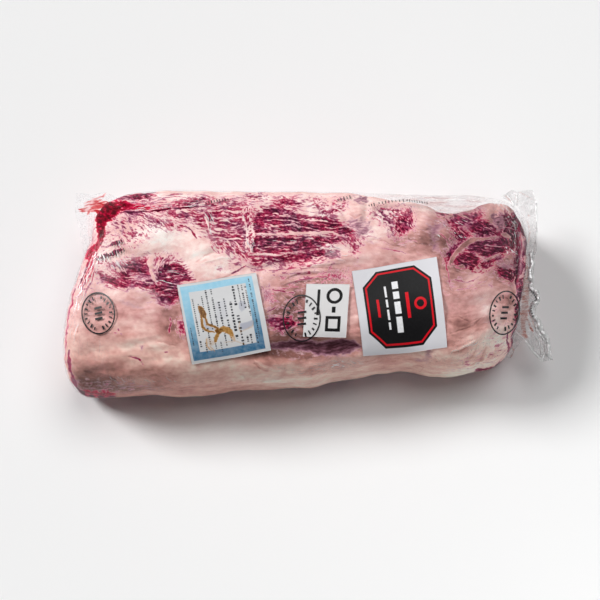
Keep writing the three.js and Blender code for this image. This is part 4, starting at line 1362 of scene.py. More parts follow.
# Loose film past the ends, as pairs of places in the photograph with their heights in mm: its
# free edge, and the line along which it leaves the pack.
SEAL = [
    ((552.8, 359.7, 31), (543, 361.8, 30)), ((550, 347, 33.5), (537, 356.5, 32)),
    ((545.5, 332.5, 36), (530, 346.5, 34)), ((540, 322.5, 38), (524, 338, 36)),
    ((536, 314, 39.5), (516, 330, 37)), ((536.2, 308, 40.5), (515, 316, 39)),
    ((539.3, 301.5, 41.5), (516, 304, 41)), ((538.8, 295, 42.5), (516, 296, 42)),
    ((534.5, 288.5, 43), (517, 288, 43)), ((533.4, 279, 44), (519, 279, 44)),
    ((534, 268, 45), (520, 268, 45)), ((534.5, 258.5, 46), (521, 258, 46)),
    ((536.7, 250, 46.5), (521.5, 249, 46.5)), ((537, 238, 47), (522, 237, 47)),
    ((537.2, 224, 47.5), (522, 224, 48)), ((536.8, 211, 48), (520.5, 213, 48)),
    ((536.8, 201, 48), (518, 208, 48)), ((534, 195.5, 47.5), (515.5, 205.5, 48)),
    ((532.5, 190.3, 47), (513, 204, 47.5)), ((524, 190.8, 46), (510, 202, 47)),
    ((516.8, 192, 45), (507, 200.5, 46)), ((512, 189.8, 45), (504, 198.5, 46)),
    ((507, 193.2, 45), (501, 196.5, 46)),
]
WEB = [
    ((523.5, 338.5, 33), (512, 330, 34)), ((520, 343, 30), (508, 340, 31)),
    ((515, 350, 27), (506, 349, 28)), ((511, 358, 22), (504, 357, 24)),
]
FLAP = [
    ((84, 256, 54), (92, 255, 54)), ((81.5, 241, 54.5), (96, 243, 55)), ((79.5, 229, 55), (100, 231, 56)),
    ((76, 217, 56), (102, 220, 57)), ((75.2, 207, 57), (103, 212, 58)), ((76, 197, 58), (104, 207, 59)),
    ((77.5, 192.5, 59), (106, 204, 60)), ((91, 194.5, 60), (110, 202, 61)),
    ((103.5, 192.5, 61), (114, 200, 62)), ((112, 195, 62), (118, 198, 62)),
]
# The bright welded edge: width in px, then places and heights along it.
EDGES = [
    (4.4, [(552, 359.5, 31), (548.5, 354, 32.5), (548.3, 344, 34), (545.5, 336.3, 35.5),
           (540.5, 329.5, 37), (537, 320, 38.5), (532.4, 314, 40), (532.4, 305.5, 41),
           (538, 300, 41.8), (536.6, 292, 42.5),
           (530.6, 287.5, 43), (531.6, 282, 44), (530.2, 272, 45), (532.2, 265, 45.5), (531, 256.5, 46),
           (532.4, 249.7, 46.5)]),
    (2.0, [(535.5, 323, 38.5), (537.5, 332, 37), (543, 338, 35.5), (545.5, 346, 34), (546, 356, 32)]),
    (2.2, [(543, 361.2, 30.5), (537.2, 356, 32.5), (530.8, 348.4, 34.5), (524.6, 340, 36.5)]),
    (1.4, [(548, 346, 34), (544, 354, 32), (541, 360, 31)]),
    (1.3, [(533, 332, 37), (538, 341, 35), (541, 350, 33), (541, 358, 31)]),
    (1.2, [(536, 245, 47), (536.6, 228, 47.5), (536.2, 210, 48), (535.8, 202, 48)]),
    (1.0, [(516.5, 193, 46), (516.5, 200, 47), (515.6, 206, 48.5)]),
    (1.0, [(507, 194.5, 46), (511, 200, 47), (515, 206.5, 48.5)]),
]
# Juice on the loose film: width in px, strength and places.
FLAP_JUICE = [
    (3.6, 1.0, [(79, 209.6), (86, 208.6), (93, 207.6), (104, 206.5)]),
    (2.4, 0.9, [(80, 211.6), (88, 210.6), (102, 211)]),
    (2.4, 0.85, [(84, 206.4), (91, 204.4), (99, 203), (108, 202)]),
    (5.0, 0.9, [(91, 207.5), (97, 207), (108, 205)]),
    (2.0, 0.7, [(85, 208), (90, 204), (96, 201), (102, 200)]),
    (1.8, 0.6, [(88, 213), (93, 209), (98, 206), (104, 204)]),
    (7.0, 0.10, [(91, 214), (91, 228), (91, 242)]),
    (5.0, 1.0, [(96, 211), (101, 213), (106, 212)]),
    (1.6, 0.55, [(84, 204), (90, 201.5), (97, 199.5)]),
    (1.5, 0.50, [(90, 201), (96, 198.5), (103, 196.5), (106, 193)]),
    (1.6, 0.60, [(87, 216), (88.5, 213), (91, 209)]),
    (1.4, 0.50, [(92, 198), (95, 203), (98, 207)]),
    (3.0, 0.9, [(100, 214), (101, 224), (101, 234), (99, 243)]),
    (2.4, 0.8, [(98, 240), (92, 247), (87, 255), (84, 258)]),
    (1.4, 0.5, [(95, 214), (95, 224), (96, 236)]),
]
SEAL_JUICE = [
    (4.0, 0.55, [(521, 312), (523, 322), (524, 332), (526, 338)]),
    (2.4, 0.70, [(527, 318), (530, 326), (533, 332)]),
    (3.0, 0.45, [(518, 330), (523, 334), (528, 338)]),
    (8.0, 0.46, [(524, 250), (525, 272), (525, 290), (525, 306), (524, 324)]),
    (1.2, 0.40, [(526, 262), (527, 276), (527, 290), (530, 300)]),
    (1.2, 0.40, [(528, 300), (529, 312), (533, 322), (536, 330)]),
    (1.4, 0.30, [(505, 195), (510, 200), (514, 206)]),
    (1.4, 0.30, [(516, 193), (517, 200), (516, 206)]),
    (1.2, 0.25, [(519, 192), (527, 196), (533, 200)]),
    (1.6, 0.80, [(528.5, 215.5), (529.5, 216.5)]),
    (1.2, 0.35, [(528, 221), (530, 232), (528, 244)]),
    (2.0, 0.40, [(512, 345), (514, 352), (511, 358)]),
]


def line_through(points, share):
    """Smooth curve through 3-D points, at shares from 0 to 1 of their number."""
    points = np.array(points, float)
    knots = np.arange(len(points))
    at = np.asarray(share) * (len(points) - 1)
    return np.stack([curve_through(list(zip(knots, points[:, k])))(at) for k in range(3)], -1)


def stroke_sum(px, py, strokes):
    """The strongest of several strokes, each a width, a strength and a line."""
    total = np.zeros(px.shape)
    for width, strength, line in strokes:
        total = np.maximum(total, strength * stroke_cover(px, py, line, width))
    return total


FIN_GRID = 560, 40  # along and outwards
TUBE_SIDES = 10
# Juice lies in threads left of the first pair of places and right of the second.
THREADED_LEFT, THREADED_RIGHT = (98, 90), (300, 301)


def make_fin(name, pairs, ripple, haze, tint, strokes, juice, shine, seed):
    """Crumpled film between two lines: it waves along and its folds grow towards the free edge."""
    material = film_finish(name, tint, WHITE, 0.20, 0.25, shine, juice)
    along, outwards = np.meshgrid(*(np.linspace(0, 1, count) for count in FIN_GRID), indexing="ij")
    free, bound = zip(*pairs)
    place = line_through(bound, along) * (1 - outwards[..., None])
    place = place + line_through(free, along) * outwards[..., None]
    run = along * len(pairs)
    broad = noise(run * 0.5, outwards * 1.2, seed) + 0.4 * noise(run * 1.4, outwards * 2.4, seed + 1)
    sharp = 1 - 2 * np.abs(noise(run * 0.9 + outwards, outwards * 2 - run * 0.3, seed + 2))
    edge = 0.55 * noise(run * 1.3, outwards * 0 + seed, seed + 3)
    px, py = place[..., 0] + edge * outwards**3, place[..., 1]
    point = from_photo(px, py, place[..., 2] + ripple * outwards * (broad + 0.5 * sharp))
    # painted glints: bright ridges run mostly along the strip, each with a painted dark side; some cross
    # it
    ways = [
        (run * 0.9 + 0.4 * broad, outwards * 6.5 + 0.8 * broad, 0.050, 1.0),
        (run * 2.4 - outwards * 3, outwards * 3.0 + run, 0.040, 0.7),
        (run * 3.6, outwards * 1.6 - run * 0.6, 0.030, 0.5),
    ]
    lines, fold = np.zeros(run.shape), np.zeros(run.shape)
    for k, (u, v, thick, strength) in enumerate(ways):
        crest_value = noise(u, v, seed + 4 + k)
        lines = np.maximum(lines, strength * ramp(thick, 0.2 * thick, np.abs(crest_value)))
        beside = ramp(0.8 * thick, 0.0, np.abs(crest_value - 1.5 * thick))
        fold = np.maximum(fold, strength * beside)
    patch = ramp(-0.1, 0.5, noise(run * 1.1, outwards * 2, seed + 9))
    wx, wy = px + 1.2 * layered(px / 5, py / 5, seed + 7), py + 1.2 * layered(px / 5, py / 5, seed + 8)
    threads = ramp(-0.25, 0.3, layered(px / 7, py / 1.5 + px / 9, seed + 10, 2))
    loose = ramp(*THREADED_LEFT, px) + ramp(*THREADED_RIGHT, px)
    stains = stroke_sum(wx, wy, strokes) * (1 + loose * (0.85 * threads - 0.75))
    bright = np.clip(2.6 * haze, 0, 1)
    add_film(
        name, point, grid_faces(*along.shape), material,
        haze=np.clip(haze * (0.30 + 1.0 * patch) + bright * lines, 0, 0.97),
        across=0.12, slant=0.12,
        blood=stains * (0.75 + 0.5 * patch),
        fold=np.clip(fold * bright * (1 - lines), 0, 0.8),
    )


def make_edges():
    """Welded edges as one piece: flattened tubes whose width and course are crumpled."""
    tubes = []
    around = np.linspace(0, 2 * np.pi, TUBE_SIDES + 1)[:-1]
    for k, (width, path) in enumerate(EDGES):
        along, turn = np.meshgrid(np.linspace(0, 1, 60 * len(path)), around, indexing="ij")
        middle, behind, ahead = (
            line_through(path, np.clip(along + step, 0, 1)) for step in (0, -0.004, 0.004)
        )
        ahead = ahead - behind
        side = np.stack([ahead[..., 1], -ahead[..., 0]], -1)
        side = side / np.hypot(ahead[..., 0], ahead[..., 1])[..., None]
        run, level = along * len(path), turn * 0 + k
        taper = np.clip(np.sin(np.pi * np.clip(along, 0.004, 0.996)) * 4, 0.05, 1) ** 0.5
        crumple = 0.5 * noise(run * 1.6, level, 651) + 0.25 * noise(run * 4, turn, 652)
        half = width / 1.8 * taper * (1 + crumple)
        across = half * np.cos(turn) + 0.5 * noise(run * 1.1, level, 653) * taper
        px, py = middle[..., 0] + side[..., 0] * across, middle[..., 1] + side[..., 1] * across
        swell = 1 + 0.4 * noise(run * 3, turn * 2, 654)
        height = middle[..., 2] + 0.8 + 0.55 * half * np.sin(turn) * swell
        tubes.append((from_photo(px, py, height), grid_faces(*along.shape, closed=True)))
    vertices, faces = joined(tubes)
    # painted shade: small dark grey specks on the welded edge
    speck_shade = ramp(0.05, 0.0, np.abs(layered(vertices[:, 0] / 3.2, vertices[:, 1] / 3.2, 655, 2)))
    material = film_finish("seal_edge", (0.95, 0.95, 0.96, 1), WHITE, 0.45, 0.2, 0.55)
    add_film("seal_edge", vertices, faces, material, haze=0.96, fold=0.25 * speck_shade)


def joined(parts):
    """Vertices and faces of several parts as one mesh."""
    points = [part.reshape(-1, 3) for part, _ in parts]
    starts = np.cumsum([0] + [len(part) for part in points])
    faces = [quads + start for (_, quads), start in zip(parts, starts)]
    return np.concatenate(points), np.concatenate(faces)


# ---- Labels --------------------------------------------------------------------------------

LABEL_LOW, LABEL_HIGH = 0.62, 1.05  # lifts of the paper's two faces off the pack
LABEL_CORNERS = {
    "stock_label": [(-115.5, -8.6), (-48.6, 2.7), (-35.8, -62.2), (-102.4, -73.8)],
    "grade_label": [(-5.9, -7), (30.8, -7.3), (27.7, -51.1), (-8.9, -51.1)],
    "front_label": [(32.6, 4.3), (105.3, 18.1), (113.7, -57.8), (42.4, -64.3)],
}


def union(*depths):
    """Signed depth in any of several shapes."""
    return np.maximum.reduce(depths)


def box_depth(u, v, low_u, low_v, high_u, high_v):
    """Signed distance to a rectangle, positive inside."""
    return np.minimum(np.minimum(u - low_u, high_u - u), np.minimum(v - low_v, high_v - v))


def chance(a, b):
    """A fixed number from 0 to 1 for each pair of whole numbers."""
    return np.mod(np.sin(a * 12.9898 + b * 78.233) * 43758.5453, 1.0)


def dash_rows(u, v, rows, seed):
    """Signed depth in rows of short dashes along v: each row's place, ends, height and pitch."""
    depth = np.full(u.shape, -9.0)
    for k, (place, start, stop, tall, pitch) in enumerate(rows):
        cell = np.floor(v / pitch)
        pick, other = chance(cell, k + seed), chance(cell, k + seed + 40)
        half_long = pitch * (0.22 + 0.20 * other)
        half_tall = tall / 2 * np.where(pick > 0.7, 1.25, 0.8)
        inside = np.minimum(half_tall - np.abs(u - place), half_long - np.abs(v - (cell + 0.5) * pitch))
        inside = np.where(pick < 0.10, -9, np.minimum(inside, np.minimum(v - start, stop - v)))
        depth = np.maximum(depth, inside)
    return depth


# Spill on the blue label: widths, strengths and places.
SPILL = [
    (5.6, 1.00, [(199.5, 306.5), (201.5, 310), (203.7, 314.5), (205, 318)]),
    (2.2, 0.85, [(200.9, 313), (201.9, 321), (202.5, 326.8), (205.2, 329.8), (209.5, 331.4), (215, 332)]),
    (2.4, 0.90, [(205.4, 317), (207.2, 324.4), (212, 325.8), (217, 327.6), (219.5, 330.5)]),
    (5.0, 0.95, [(215.5, 330), (219, 331.5), (223, 330)]),
    (6.4, 0.62, [(219, 330), (224.7, 329), (229.6, 331.5), (232.4, 335.5)]),
    (4.4, 0.34, [(229, 332), (232.5, 336.5), (235, 341)]),
    (3.8, 0.70, [(218.4, 332), (216.6, 337), (215, 342)]),
    (1.4, 0.45, [(206.5, 338.5), (206.9, 346.4), (212.1, 351)]),
    (1.2, 0.40, [(209.6, 345.5), (213, 349), (215, 351.5)]),
    (5.0, 0.16, [(207, 338), (211, 343), (216, 343)]),
    (1.2, 0.20, [(240, 331.6), (244, 330), (252, 327.2), (254, 320.5)]),
    (1.2, 0.20, [(239.5, 322), (239, 328), (241, 334)]),
    (1.0, 0.22, [(224, 342), (236, 341), (246, 345)]),
]
GREY_PATCHES = [
    [(238.6, 303), (241, 300.6), (244.8, 301.6), (246.6, 305), (244.6, 309.6), (241.4, 311.6), (239, 308)],
    [(240, 323.6), (247, 322), (253.6, 319.6), (253.4, 325), (249, 328), (243, 330), (240, 328.4)],
    [(203.3, 318.6), (204.8, 319.6), (206.4, 325.6), (213, 327.4), (216.6, 330), (210, 330.4),
     (204.6, 327.6)],
    [(215, 302), (226, 300), (228, 318), (217, 320)],
]


# Rows of dashes on the blue label's panel: place, start, stop, height and pitch in mm.
PANEL_ROWS = [
    (10.6, 12, 54, 1.3, 1.9), (14.6, 7, 17, 1.2, 1.7), (14.6, 24, 49, 1.2, 1.7),
    (18.6, 12, 56, 1.3, 1.8), (22.8, 9, 19, 1.2, 1.7), (22.8, 22, 60, 1.3, 1.9),
    (27.4, 6, 14, 1.2, 1.7), (27.4, 20, 60, 1.4, 1.9), (32.0, 10, 20, 1.3, 1.9),
    (32.0, 24, 51, 1.5, 2.3), (36.8, 12, 50, 1.4, 2.1), (41.8, 14, 46, 1.9, 2.5),
    (46.0, 8, 60, 1.9, 2.6), (50.4, 40, 60, 1.1, 1.5), (50.4, 10, 15, 1.4, 1.8),
    (53.4, 38, 60, 1.3, 1.8), (53.4, 8, 16, 1.5, 2.0), (56.4, 30, 58, 1.2, 1.6),
    (58.4, 7, 16, 1.4, 1.8),
]
GREY_STRENGTHS = 0.75, 0.95, 0.8, 0.25


def stock_print(u, v, wide, high, px, py):
    """Blue frame on white, grey patches, rows of dashes and a brown spill."""
    frame = box_depth(u, v, 2.0, 2.2, wide - 4.2, high - 2.2)
    panel = box_depth(u, v, 8.6, 8.2, wide - 10.6, high - 8.0)
    last_rows = [(wide - 7.4, 12, high - 4, 1.2, 1.6), (4.6, 14, 30, 0.9, 1.4)]
    text = dash_rows(u, v, PANEL_ROWS + last_rows, 710)
    light = ramp(0.1, 0.9, (1 - v / high) * 0.85 + 0.12 * u / wide)
    grey = np.zeros(u.shape)
    for outline, strength in zip(GREY_PATCHES, GREY_STRENGTHS):
        grey = np.maximum(grey, strength * ramp(-0.8, 0.8, outline_depth(px, py, outline)))
    wx, wy = (place + 0.9 * layered(px / 3.5, py / 3.5, seed) for place, seed in ((px, 721), (py, 722)))
    spill = stroke_sum(wx, wy, SPILL) * (0.9 + 0.45 * layered(px / 2, py / 2, 723))
    blue = np.minimum(frame, -panel)
    return {"blue": blue, "shade": light, "text": text, "grey": grey, "stain": spill}


def grade_print(u, v, wide, high, px, py):
    """White with a thin bar, and a bold ring, a dash and a bold open square in a row."""
    bar = box_depth(u, v, 10.0, 18.0, 12.4, 40.5)
    ring = 1.3 - np.abs(np.hypot(u - 24.6, v - 35.0) - 5.6)
    dash = box_depth(u, v, 23.0, 20.4, 26.2, 25.6)
    square = 1.3 - np.abs(5.2 - np.maximum(np.abs(u - 24.6), np.abs(v - 11.0)))
    return {"text": union(bar, ring, dash, square)}


EIGHT_SIDED = 29.5, 33.5, 13.0  # half width, half height and cut off the corners
BOLD_BARS = (-22, -9), (-6.5, 4), (6.5, 13), (15.5, 22)
THIN_BARS = (-19, -13), (-11, -2), (0, 7), (9, 19)


def front_print(u, v, wide, high, px, py):
    """White with an eight-sided black field, a red line set in from its edge, and plain bars."""
    a, b = u - wide * 0.50, v - high * 0.50
    half, tall, chop = EIGHT_SIDED
    slope = (half + tall - chop - np.abs(a) - np.abs(b)) / math.sqrt(2)
    rim = np.minimum(np.minimum(half - np.abs(a), tall - np.abs(b)), slope)
    line, ring = 0.75 - np.abs(rim - 2.6), 1.1 - np.abs(np.hypot(a - 17.5, b) - 4.2)
    red_bars = box_depth(a, b, 5.6, -11, 8.4, 11), box_depth(a, b, -19.6, -8, -17.4, 8)
    bold = (box_depth(a, b, -4.6, low, 0.6, top) for low, top in BOLD_BARS)
    thin = (box_depth(a, b, -11.6, low, -9.8, top) for low, top in THIN_BARS)
    return {"black": rim, "red": union(line, ring, *red_bars), "knock": union(*bold, *thin)}


BLACK_INK = linear(12, 11, 13)
# What is printed, step of the mesh in mm, paper, inks as attribute and two shades, roughness,
# gloss coat and slot.
LABEL_PRINT = {
    "stock_label": (stock_print, 0.36, linear(218, 218, 219), [
        ("blue", linear(150, 204, 228), linear(58, 110, 146)),
        ("text", linear(34, 34, 40), linear(84, 84, 92)),
    ], 0.5, 0.12, "blue_label"),
    "grade_label": (grade_print, 0.36, linear(232, 230, 230), [
        ("text", BLACK_INK, linear(34, 30, 32)),
    ], 0.5, 0.12, "white_label"),
    "front_label": (front_print, 0.36, linear(228, 227, 232), [
        ("black", BLACK_INK, linear(22, 21, 24)), ("red", linear(226, 8, 30), linear(206, 10, 30)),
        ("knock", linear(246, 246, 248), linear(224, 224, 228)),
    ], 0.55, 0.06, "white_label"),
}
NO_INK = -0.8


def make_label(name):
    """Paper between four corners, draped on the pack, with a turned-down rim as its thickness."""
    print_rule, step, white, inks, rough, coat, slot = LABEL_PRINT[name]
    far_left, far_right, near_right, near_left = np.array(LABEL_CORNERS[name], float)
    wide = (np.linalg.norm(far_right - far_left) + np.linalg.norm(near_right - near_left)) / 2
    high = (np.linalg.norm(far_left - near_left) + np.linalg.norm(far_right - near_right)) / 2 * 1.03
    columns, rows = int(wide / step), int(high / step)
    across, up = np.meshgrid(np.linspace(0, 1, columns), np.linspace(0, 1, rows), indexing="ij")
    low = near_left + (near_right - near_left) * across[..., None]
    top = far_left + (far_right - far_left) * across[..., None]
    plan = low + (top - low) * up[..., None]
    length, angle = at_plan(plan[..., 0], plan[..., 1])
    cockle = 0.10 * layered(across * 5, up * 5, 800 + len(name), 2)
    upper = lifted(length, angle, LABEL_HIGH - 0.12 + cockle)
    lower = lifted(length, angle, LABEL_LOW + cockle * 0.5)
    px, py = photo_place(upper)
    fields = {"grey": 0 * across, "stain": 0 * across}
    for key, values in print_rule(across * wide, up * high, wide, high, px, py).items():
        fields[key] = np.clip(values, NO_INK, 1)
    faces = grid_faces(columns, rows)
    index = np.arange(columns * rows).reshape(columns, rows)
    count = index.size
    rim = np.concatenate([index[:, 0], index[-1, 1:], index[-2::-1, -1], index[0, -2:0:-1]])
    rim_next = np.roll(rim, -1)
    walls = np.stack([rim, rim + count, rim_next + count, rim_next], -1)
    all_faces = np.concatenate([faces[:, ::-1], faces + count, walls[:, ::-1]])
    for key, values in fields.items():
        blank = 0.0 if key in ("grey", "stain", "shade") else NO_INK
        fields[key] = np.concatenate([values.ravel(), np.full(count, blank)])
    piece = make_object(name + "_paper", [upper, lower], all_faces, fields)
    add_piece(piece, paper_finish(name, white, inks, rough, coat), name)


# ---- Ink on the film -----------------------------------------------------------------------

INK_LIFT = 0.62


def ribbon(px, py, width_px, lift, closed=False):
    """Flat strip along a line given in the photograph, laid on the pack."""
    line = np.stack([px, py], -1)
    if closed:
        run = np.roll(line, -1, 0) - np.roll(line, 1, 0)
    else:
        before, after = line[:1] * 2 - line[1:2], line[-1:] * 2 - line[-2:-1]
        run = np.concatenate([line[1:], after]) - np.concatenate([before, line[:-1]])
    side = np.stack([-run[:, 1], run[:, 0]], -1) / np.linalg.norm(run, axis=-1, keepdims=True)
    edges = np.stack([line - side * width_px / 2, line + side * width_px / 2], 1)
    length, angle = at_photo(edges[..., 0], edges[..., 1])
    vertices = lifted(length, angle, lift)
    faces = grid_faces(len(px), 2)
    if closed:
        last = 2 * (len(px) - 1)
        faces = np.concatenate([faces, [[last, last + 1, 1, 0]]])
    return vertices, faces


# Stamps: middle, half sizes and tilt in degrees, and lift off the pack at the middle one, which
# runs over a label.
STAMPS = [
    ((98.5, 313.3), (16.3, 20.4), -4, INK_LIFT),
    ((301.6, 318.2), (18.4, 22.6), 2, 1.25),
    ((504.2, 312.8), (14.4, 21.6), 10, INK_LIFT),
]
# Rows of dotted code: places along it, number of ticks, tick height in pixels, slant.
CODES = [
    ([(97, 259.5), (124, 250)], 11, 6.4, 0.35),
    ([(112.5, 245), (122, 241.5)], 5, 5.0, 0.35),
    ([(206, 203.5), (217, 201), (228, 200)], 9, 3.2, 0.3),
    ([(338, 200.5), (344, 199), (350, 197.5)], 5, 4.0, 0.2),
    ([(369, 206), (374, 205)], 3, 3.4, 0.2),
    ([(379, 203.6), (392, 201.6), (407, 201), (417, 202), (427, 203.6)], 17, 3.0, 0.25),
    ([(530, 290), (534, 294), (536.5, 299)], 6, 2.6, 0.1),
    ([(531.5, 306), (531, 311), (533, 316)], 5, 2.4, 0.1),
]


# Groups of painted glints: fine creases in the film drawn as pale strips where they would catch the
# light: middle, reach along and across the group in pixels, its turn, the creases' own direction and
# spread of it in degrees, how many, their length and width in pixels.
CREASE_GLINTS = [
    (140, 386, 36, 8, 4, -38, 24, 38, 8, 0.70),
    (114, 382, 12, 9, 0, -50, 24, 9, 9, 0.7),
    (168, 392, 20, 5, 0, -20, 16, 14, 8, 0.7),
    (108, 257, 12, 3, 20, -66, 5, 12, 7, 0.9),
    (117, 244, 5, 3, 20, -66, 5, 5, 6, 0.8),
    (120, 262, 12, 4, 10, -50, 10, 9, 8, 0.8),
    (90, 270, 20, 5, 66, 66, 8, 12, 14, 0.7),
    (76, 316, 26, 4, 76, 76, 6, 9, 16, 0.55),
    (170, 206, 34, 3, 3, 2, 8, 14, 12, 0.6),
    (210, 222, 10, 4, -70, -68, 14, 11, 9, 0.8),
    (249, 232, 18, 4, -84, -80, 14, 14, 7, 0.7),
    (346, 364, 18, 4, -4, -10, 20, 18, 7, 0.9),
    (300, 376, 40, 5, 3, 6, 14, 14, 10, 0.6),
    (270, 383, 12, 3, 4, 6, 10, 8, 9, 0.8),
    (240, 386, 30, 5, 4, 8, 10, 10, 10, 0.6),
    (464, 347, 12, 1.6, 22, 22, 4, 4, 12, 0.7),
    (482, 358, 12, 8, 40, 44, 12, 8, 10, 0.6),
    (446, 198, 50, 4, 2, 3, 8, 22, 22, 0.6),
    (505, 204, 12, 8, -40, -46, 14, 14, 11, 0.7),
    (514, 232, 7, 22, -4, -60, 24, 12, 8, 0.6),
    (508, 340, 7, 16, 0, 62, 20, 10, 9, 0.6),
    (452, 228, 14, 10, 0, -34, 14, 12, 7, 0.6),
    (380, 214, 22, 8, 0, -30, 24, 8, 7, 0.6),
    (300, 240, 50, 16, 0, -4, 12, 14, 9, 0.55),
    (172, 276, 16, 8, 0, -6, 12, 10, 10, 0.55),
]


CREASE_LIFT = 0.55
CREASE_STEPS = 9
MOST_MISS, LEAST_UP = 1.5, 0.35  # creases that miss their place in pixels, or lie on a steep side, go


def make_crease_glints():
    """Painted glints: thin bowed pale strips, tapering to their ends, set out by whole-number hashing over
    the film.
    """
    t = np.linspace(-1, 1, CREASE_STEPS)
    lines = []
    for k, (x, y, along, across, turn, way, spread, count, long, wide) in enumerate(CREASE_GLINTS):
        member = np.arange(count)[:, None] + 31 * k
        a, b, c, d = (2 * chance(member, j) - 1 for j in (3, 5, 7, 11))
        cos, sin = cos_sin(turn)
        lean = np.radians(way + spread * c)
        run, bow = t * long / 2 * (0.65 + 0.5 * d), 0.16 * long * (t * t - 0.4) * a
        px = x + a * along * cos + b * across * sin + run * np.cos(lean) - bow * np.sin(lean)
        py = y - a * along * sin + b * across * cos - run * np.sin(lean) - bow * np.cos(lean)
        half = wide / 2 * (1.02 - t * t) ** 0.5 * (0.8 + 0.4 * b)
        edge = np.stack([np.sin(lean), np.cos(lean)], -1) * half[..., None]
        place = np.stack([px, py], -1)
        lines.append(np.stack([place - edge, place + edge], 2))
    lines = np.concatenate(lines)
    length, angle = at_photo(lines[..., 0], lines[..., 1])
    vertices = lifted(length, angle, CREASE_LIFT)
    px, py = photo_place(vertices)
    missed = np.hypot(px - lines[..., 0], py - lines[..., 1]).max((1, 2))
    flat_enough = pack_normal(length, angle)[..., 2].min((1, 2)) > LEAST_UP
    vertices = vertices[(missed < MOST_MISS) & flat_enough]
    strip = grid_faces(CREASE_STEPS, 2)
    faces = np.concatenate([strip + 2 * CREASE_STEPS * k for k in range(len(vertices))])
    haze = 0.55 + 0.4 * layered(vertices[..., 0] / 5, vertices[..., 1] / 5, 661, 2)
    material = film_finish("film_crease_glints", NEAR_CLEAR, WHITE, 0.3, 0.0, 0.10)
    add_film("film_crease_glints", vertices, faces, material, haze=haze)


def stamp_strips(middle, half, tilt, lift):
    """A ring, short strokes set round its inside, and three strokes in the middle."""
    cos, sin = cos_sin(tilt)

    def turned(a, b):
        """Place in the photograph of a point of the upright stamp."""
        return middle[0] + a * cos - b * sin, middle[1] + a * sin + b * cos

    t = np.linspace(0, 2 * np.pi, 97)[:-1]
    strips = [ribbon(*turned(half[0] * np.cos(t), half[1] * np.sin(t)), 1.35, lift, closed=True)]
    marks = np.concatenate([np.linspace(-1.25, 1.25, 9), np.linspace(np.pi - 1.2, np.pi + 1.2, 9)])
    for k, place in enumerate(marks):
        long = 0.20 if k % 3 else 0.14
        radial = np.array([0.86, 0.86 - long])
        a, b = half[0] * np.cos(place) * radial, half[1] * np.sin(place) * radial
        strips.append(ribbon(*turned(a, b), 1.3 if k % 2 else 1.8, lift))
    for place in (-0.26, 0.0, 0.26):
        a = half[0] * np.array([-0.22, 0.24])
        b = half[1] * (place + np.array([0.03, -0.03]))
        strips.append(ribbon(*turned(a, b), 2.2, lift))
    return strips


TICK_WIDTH, EDGE_TICK_HALF = 0.9, 0.8
LOOSE_FROM, LOOSE_HEIGHT = 520, 46.0  # past this x ticks are on the seal's edge, at this height


def make_ink():
    """The stamps and the rows of ticks as one piece."""
    strips = []
    for middle, half, tilt, lift in STAMPS:
        strips += stamp_strips(middle, half, tilt, lift)
    for line, count, tall, slant in CODES:
        places = np.linspace(0, len(line) - 1, count)
        across, down = (np.interp(places, range(len(line)), part) for part in zip(*line))
        for k, (x, y) in enumerate(zip(across, down)):
            size = tall * (0.5 + 0.11 * ((k * 7) % 5))
            if x < LOOSE_FROM:
                xs, ys = (np.array([at - reach, at + reach])
                          for at, reach in ((x, slant * size / 2), (y, size / 2)))
                strips.append(ribbon(xs, ys, TICK_WIDTH, INK_LIFT))
            else:
                xs = x + EDGE_TICK_HALF * np.array([-1, -1, 1, 1])
                ys = y + size / 2 * np.array([-1, 1, -1, 1])
                strips.append((from_photo(xs, ys, LOOSE_HEIGHT), np.array([[0, 1, 3, 2]])))
    vertices, faces = joined(strips)
    piece = make_object("ink_marks", vertices, faces)
    add_piece(piece, ink_finish())


# ---- Stage ---------------------------------------------------------------------------------

# Lights: direction in degrees from +x, height over the floor, apparent width, strength.
LIGHTS = {
    "key_light": (153, 38, 20, 2.80),
    "top_light": (62, 65, 40, 1.28),
}
SKY_STRENGTH = 0.035
# A pale card that bounces light on to the near right side: place, target in mm, size in m, power.
BOUNCE = ((520, -480, 300), (90, -70, 30), 0.35, 0.55)


def make_light(name, direction, height, spread, strength):
    """A sun."""
    light = placed(name, bpy.data.lights.new(name, "SUN"))
    light.data.energy = strength
    light.data.angle = math.radians(spread)
    light.rotation_euler = (math.pi / 2 - math.radians(height), 0, math.radians(direction + 90))


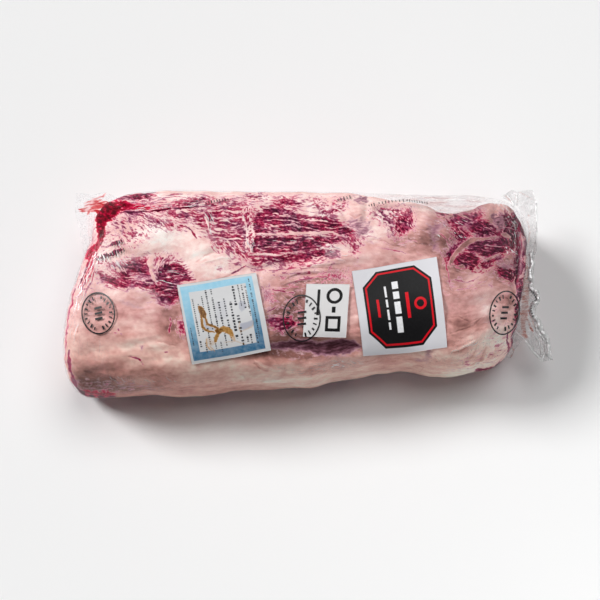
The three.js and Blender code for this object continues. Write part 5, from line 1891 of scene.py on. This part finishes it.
def make_bounce():
    """The bounce card as an area light that faces its target."""
    place, target, size, power = BOUNCE
    light = placed("bounce", bpy.data.lights.new("bounce", "AREA"))
    light.data.energy = power
    light.data.size = size
    x, y, z = (a - b for a, b in zip(place, target))
    light.location = [c * MM for c in place]
    light.rotation_euler = (math.atan2(math.hypot(x, y), z), 0, math.atan2(y, x) + math.pi / 2)


FLOOR_HALF = 30000  # mm


def make_stage():
    """Pale floor, two suns, the bounce card and a faint sky."""
    corners = [(-1, -1, 0), (1, -1, 0), (1, 1, 0), (-1, 1, 0)]
    floor = make_object("floor", np.array(corners) * FLOOR_HALF, [(0, 1, 2, 3)])
    floor.data.materials.append(floor_finish())
    for name, settings in LIGHTS.items():
        make_light(name, *settings)
    make_bounce()
    world = bpy.data.worlds.new("studio")
    world.use_nodes = True
    background = world.node_tree.nodes["Background"]
    background.inputs["Color"].default_value = (1, 1, 1, 1)
    background.inputs["Strength"].default_value = SKY_STRENGTH
    bpy.context.scene.world = world
    bpy.context.scene.view_settings.view_transform = "Standard"


def make_camera():
    """The photograph's camera."""
    data = bpy.data.cameras.new("camera")
    data.lens = LENS_MM
    data.sensor_width = SENSOR_MM
    data.sensor_fit = "HORIZONTAL"
    data.clip_end = 50
    camera = placed("camera", data)
    back = np.array([0, -TILT_COS, TILT_SIN]) * CAMERA_DISTANCE
    camera.location = (CAMERA_AIM + back) * MM
    camera.rotation_euler = (math.pi / 2 - CAMERA_TILT, 0, 0)
    bpy.context.scene.camera = camera


make_camera()
make_stage()
make_meat()
make_film()
make_fin("seal", SEAL, 2.2, 0.17, SEAL_TINT, SEAL_JUICE, SEAL_BLOOD, 0.03, 611)
make_fin("seal_web", WEB, 1.2, 0.16, SEAL_TINT, SEAL_JUICE, SEAL_BLOOD, 0.02, 671)
make_fin("flap", FLAP, 2.0, 0.08, FLAP_TINT, FLAP_JUICE, FLAP_BLOOD, 0.003, 621)
make_edges()
for label in LABEL_CORNERS:
    make_label(label)
make_ink()
make_crease_glints()
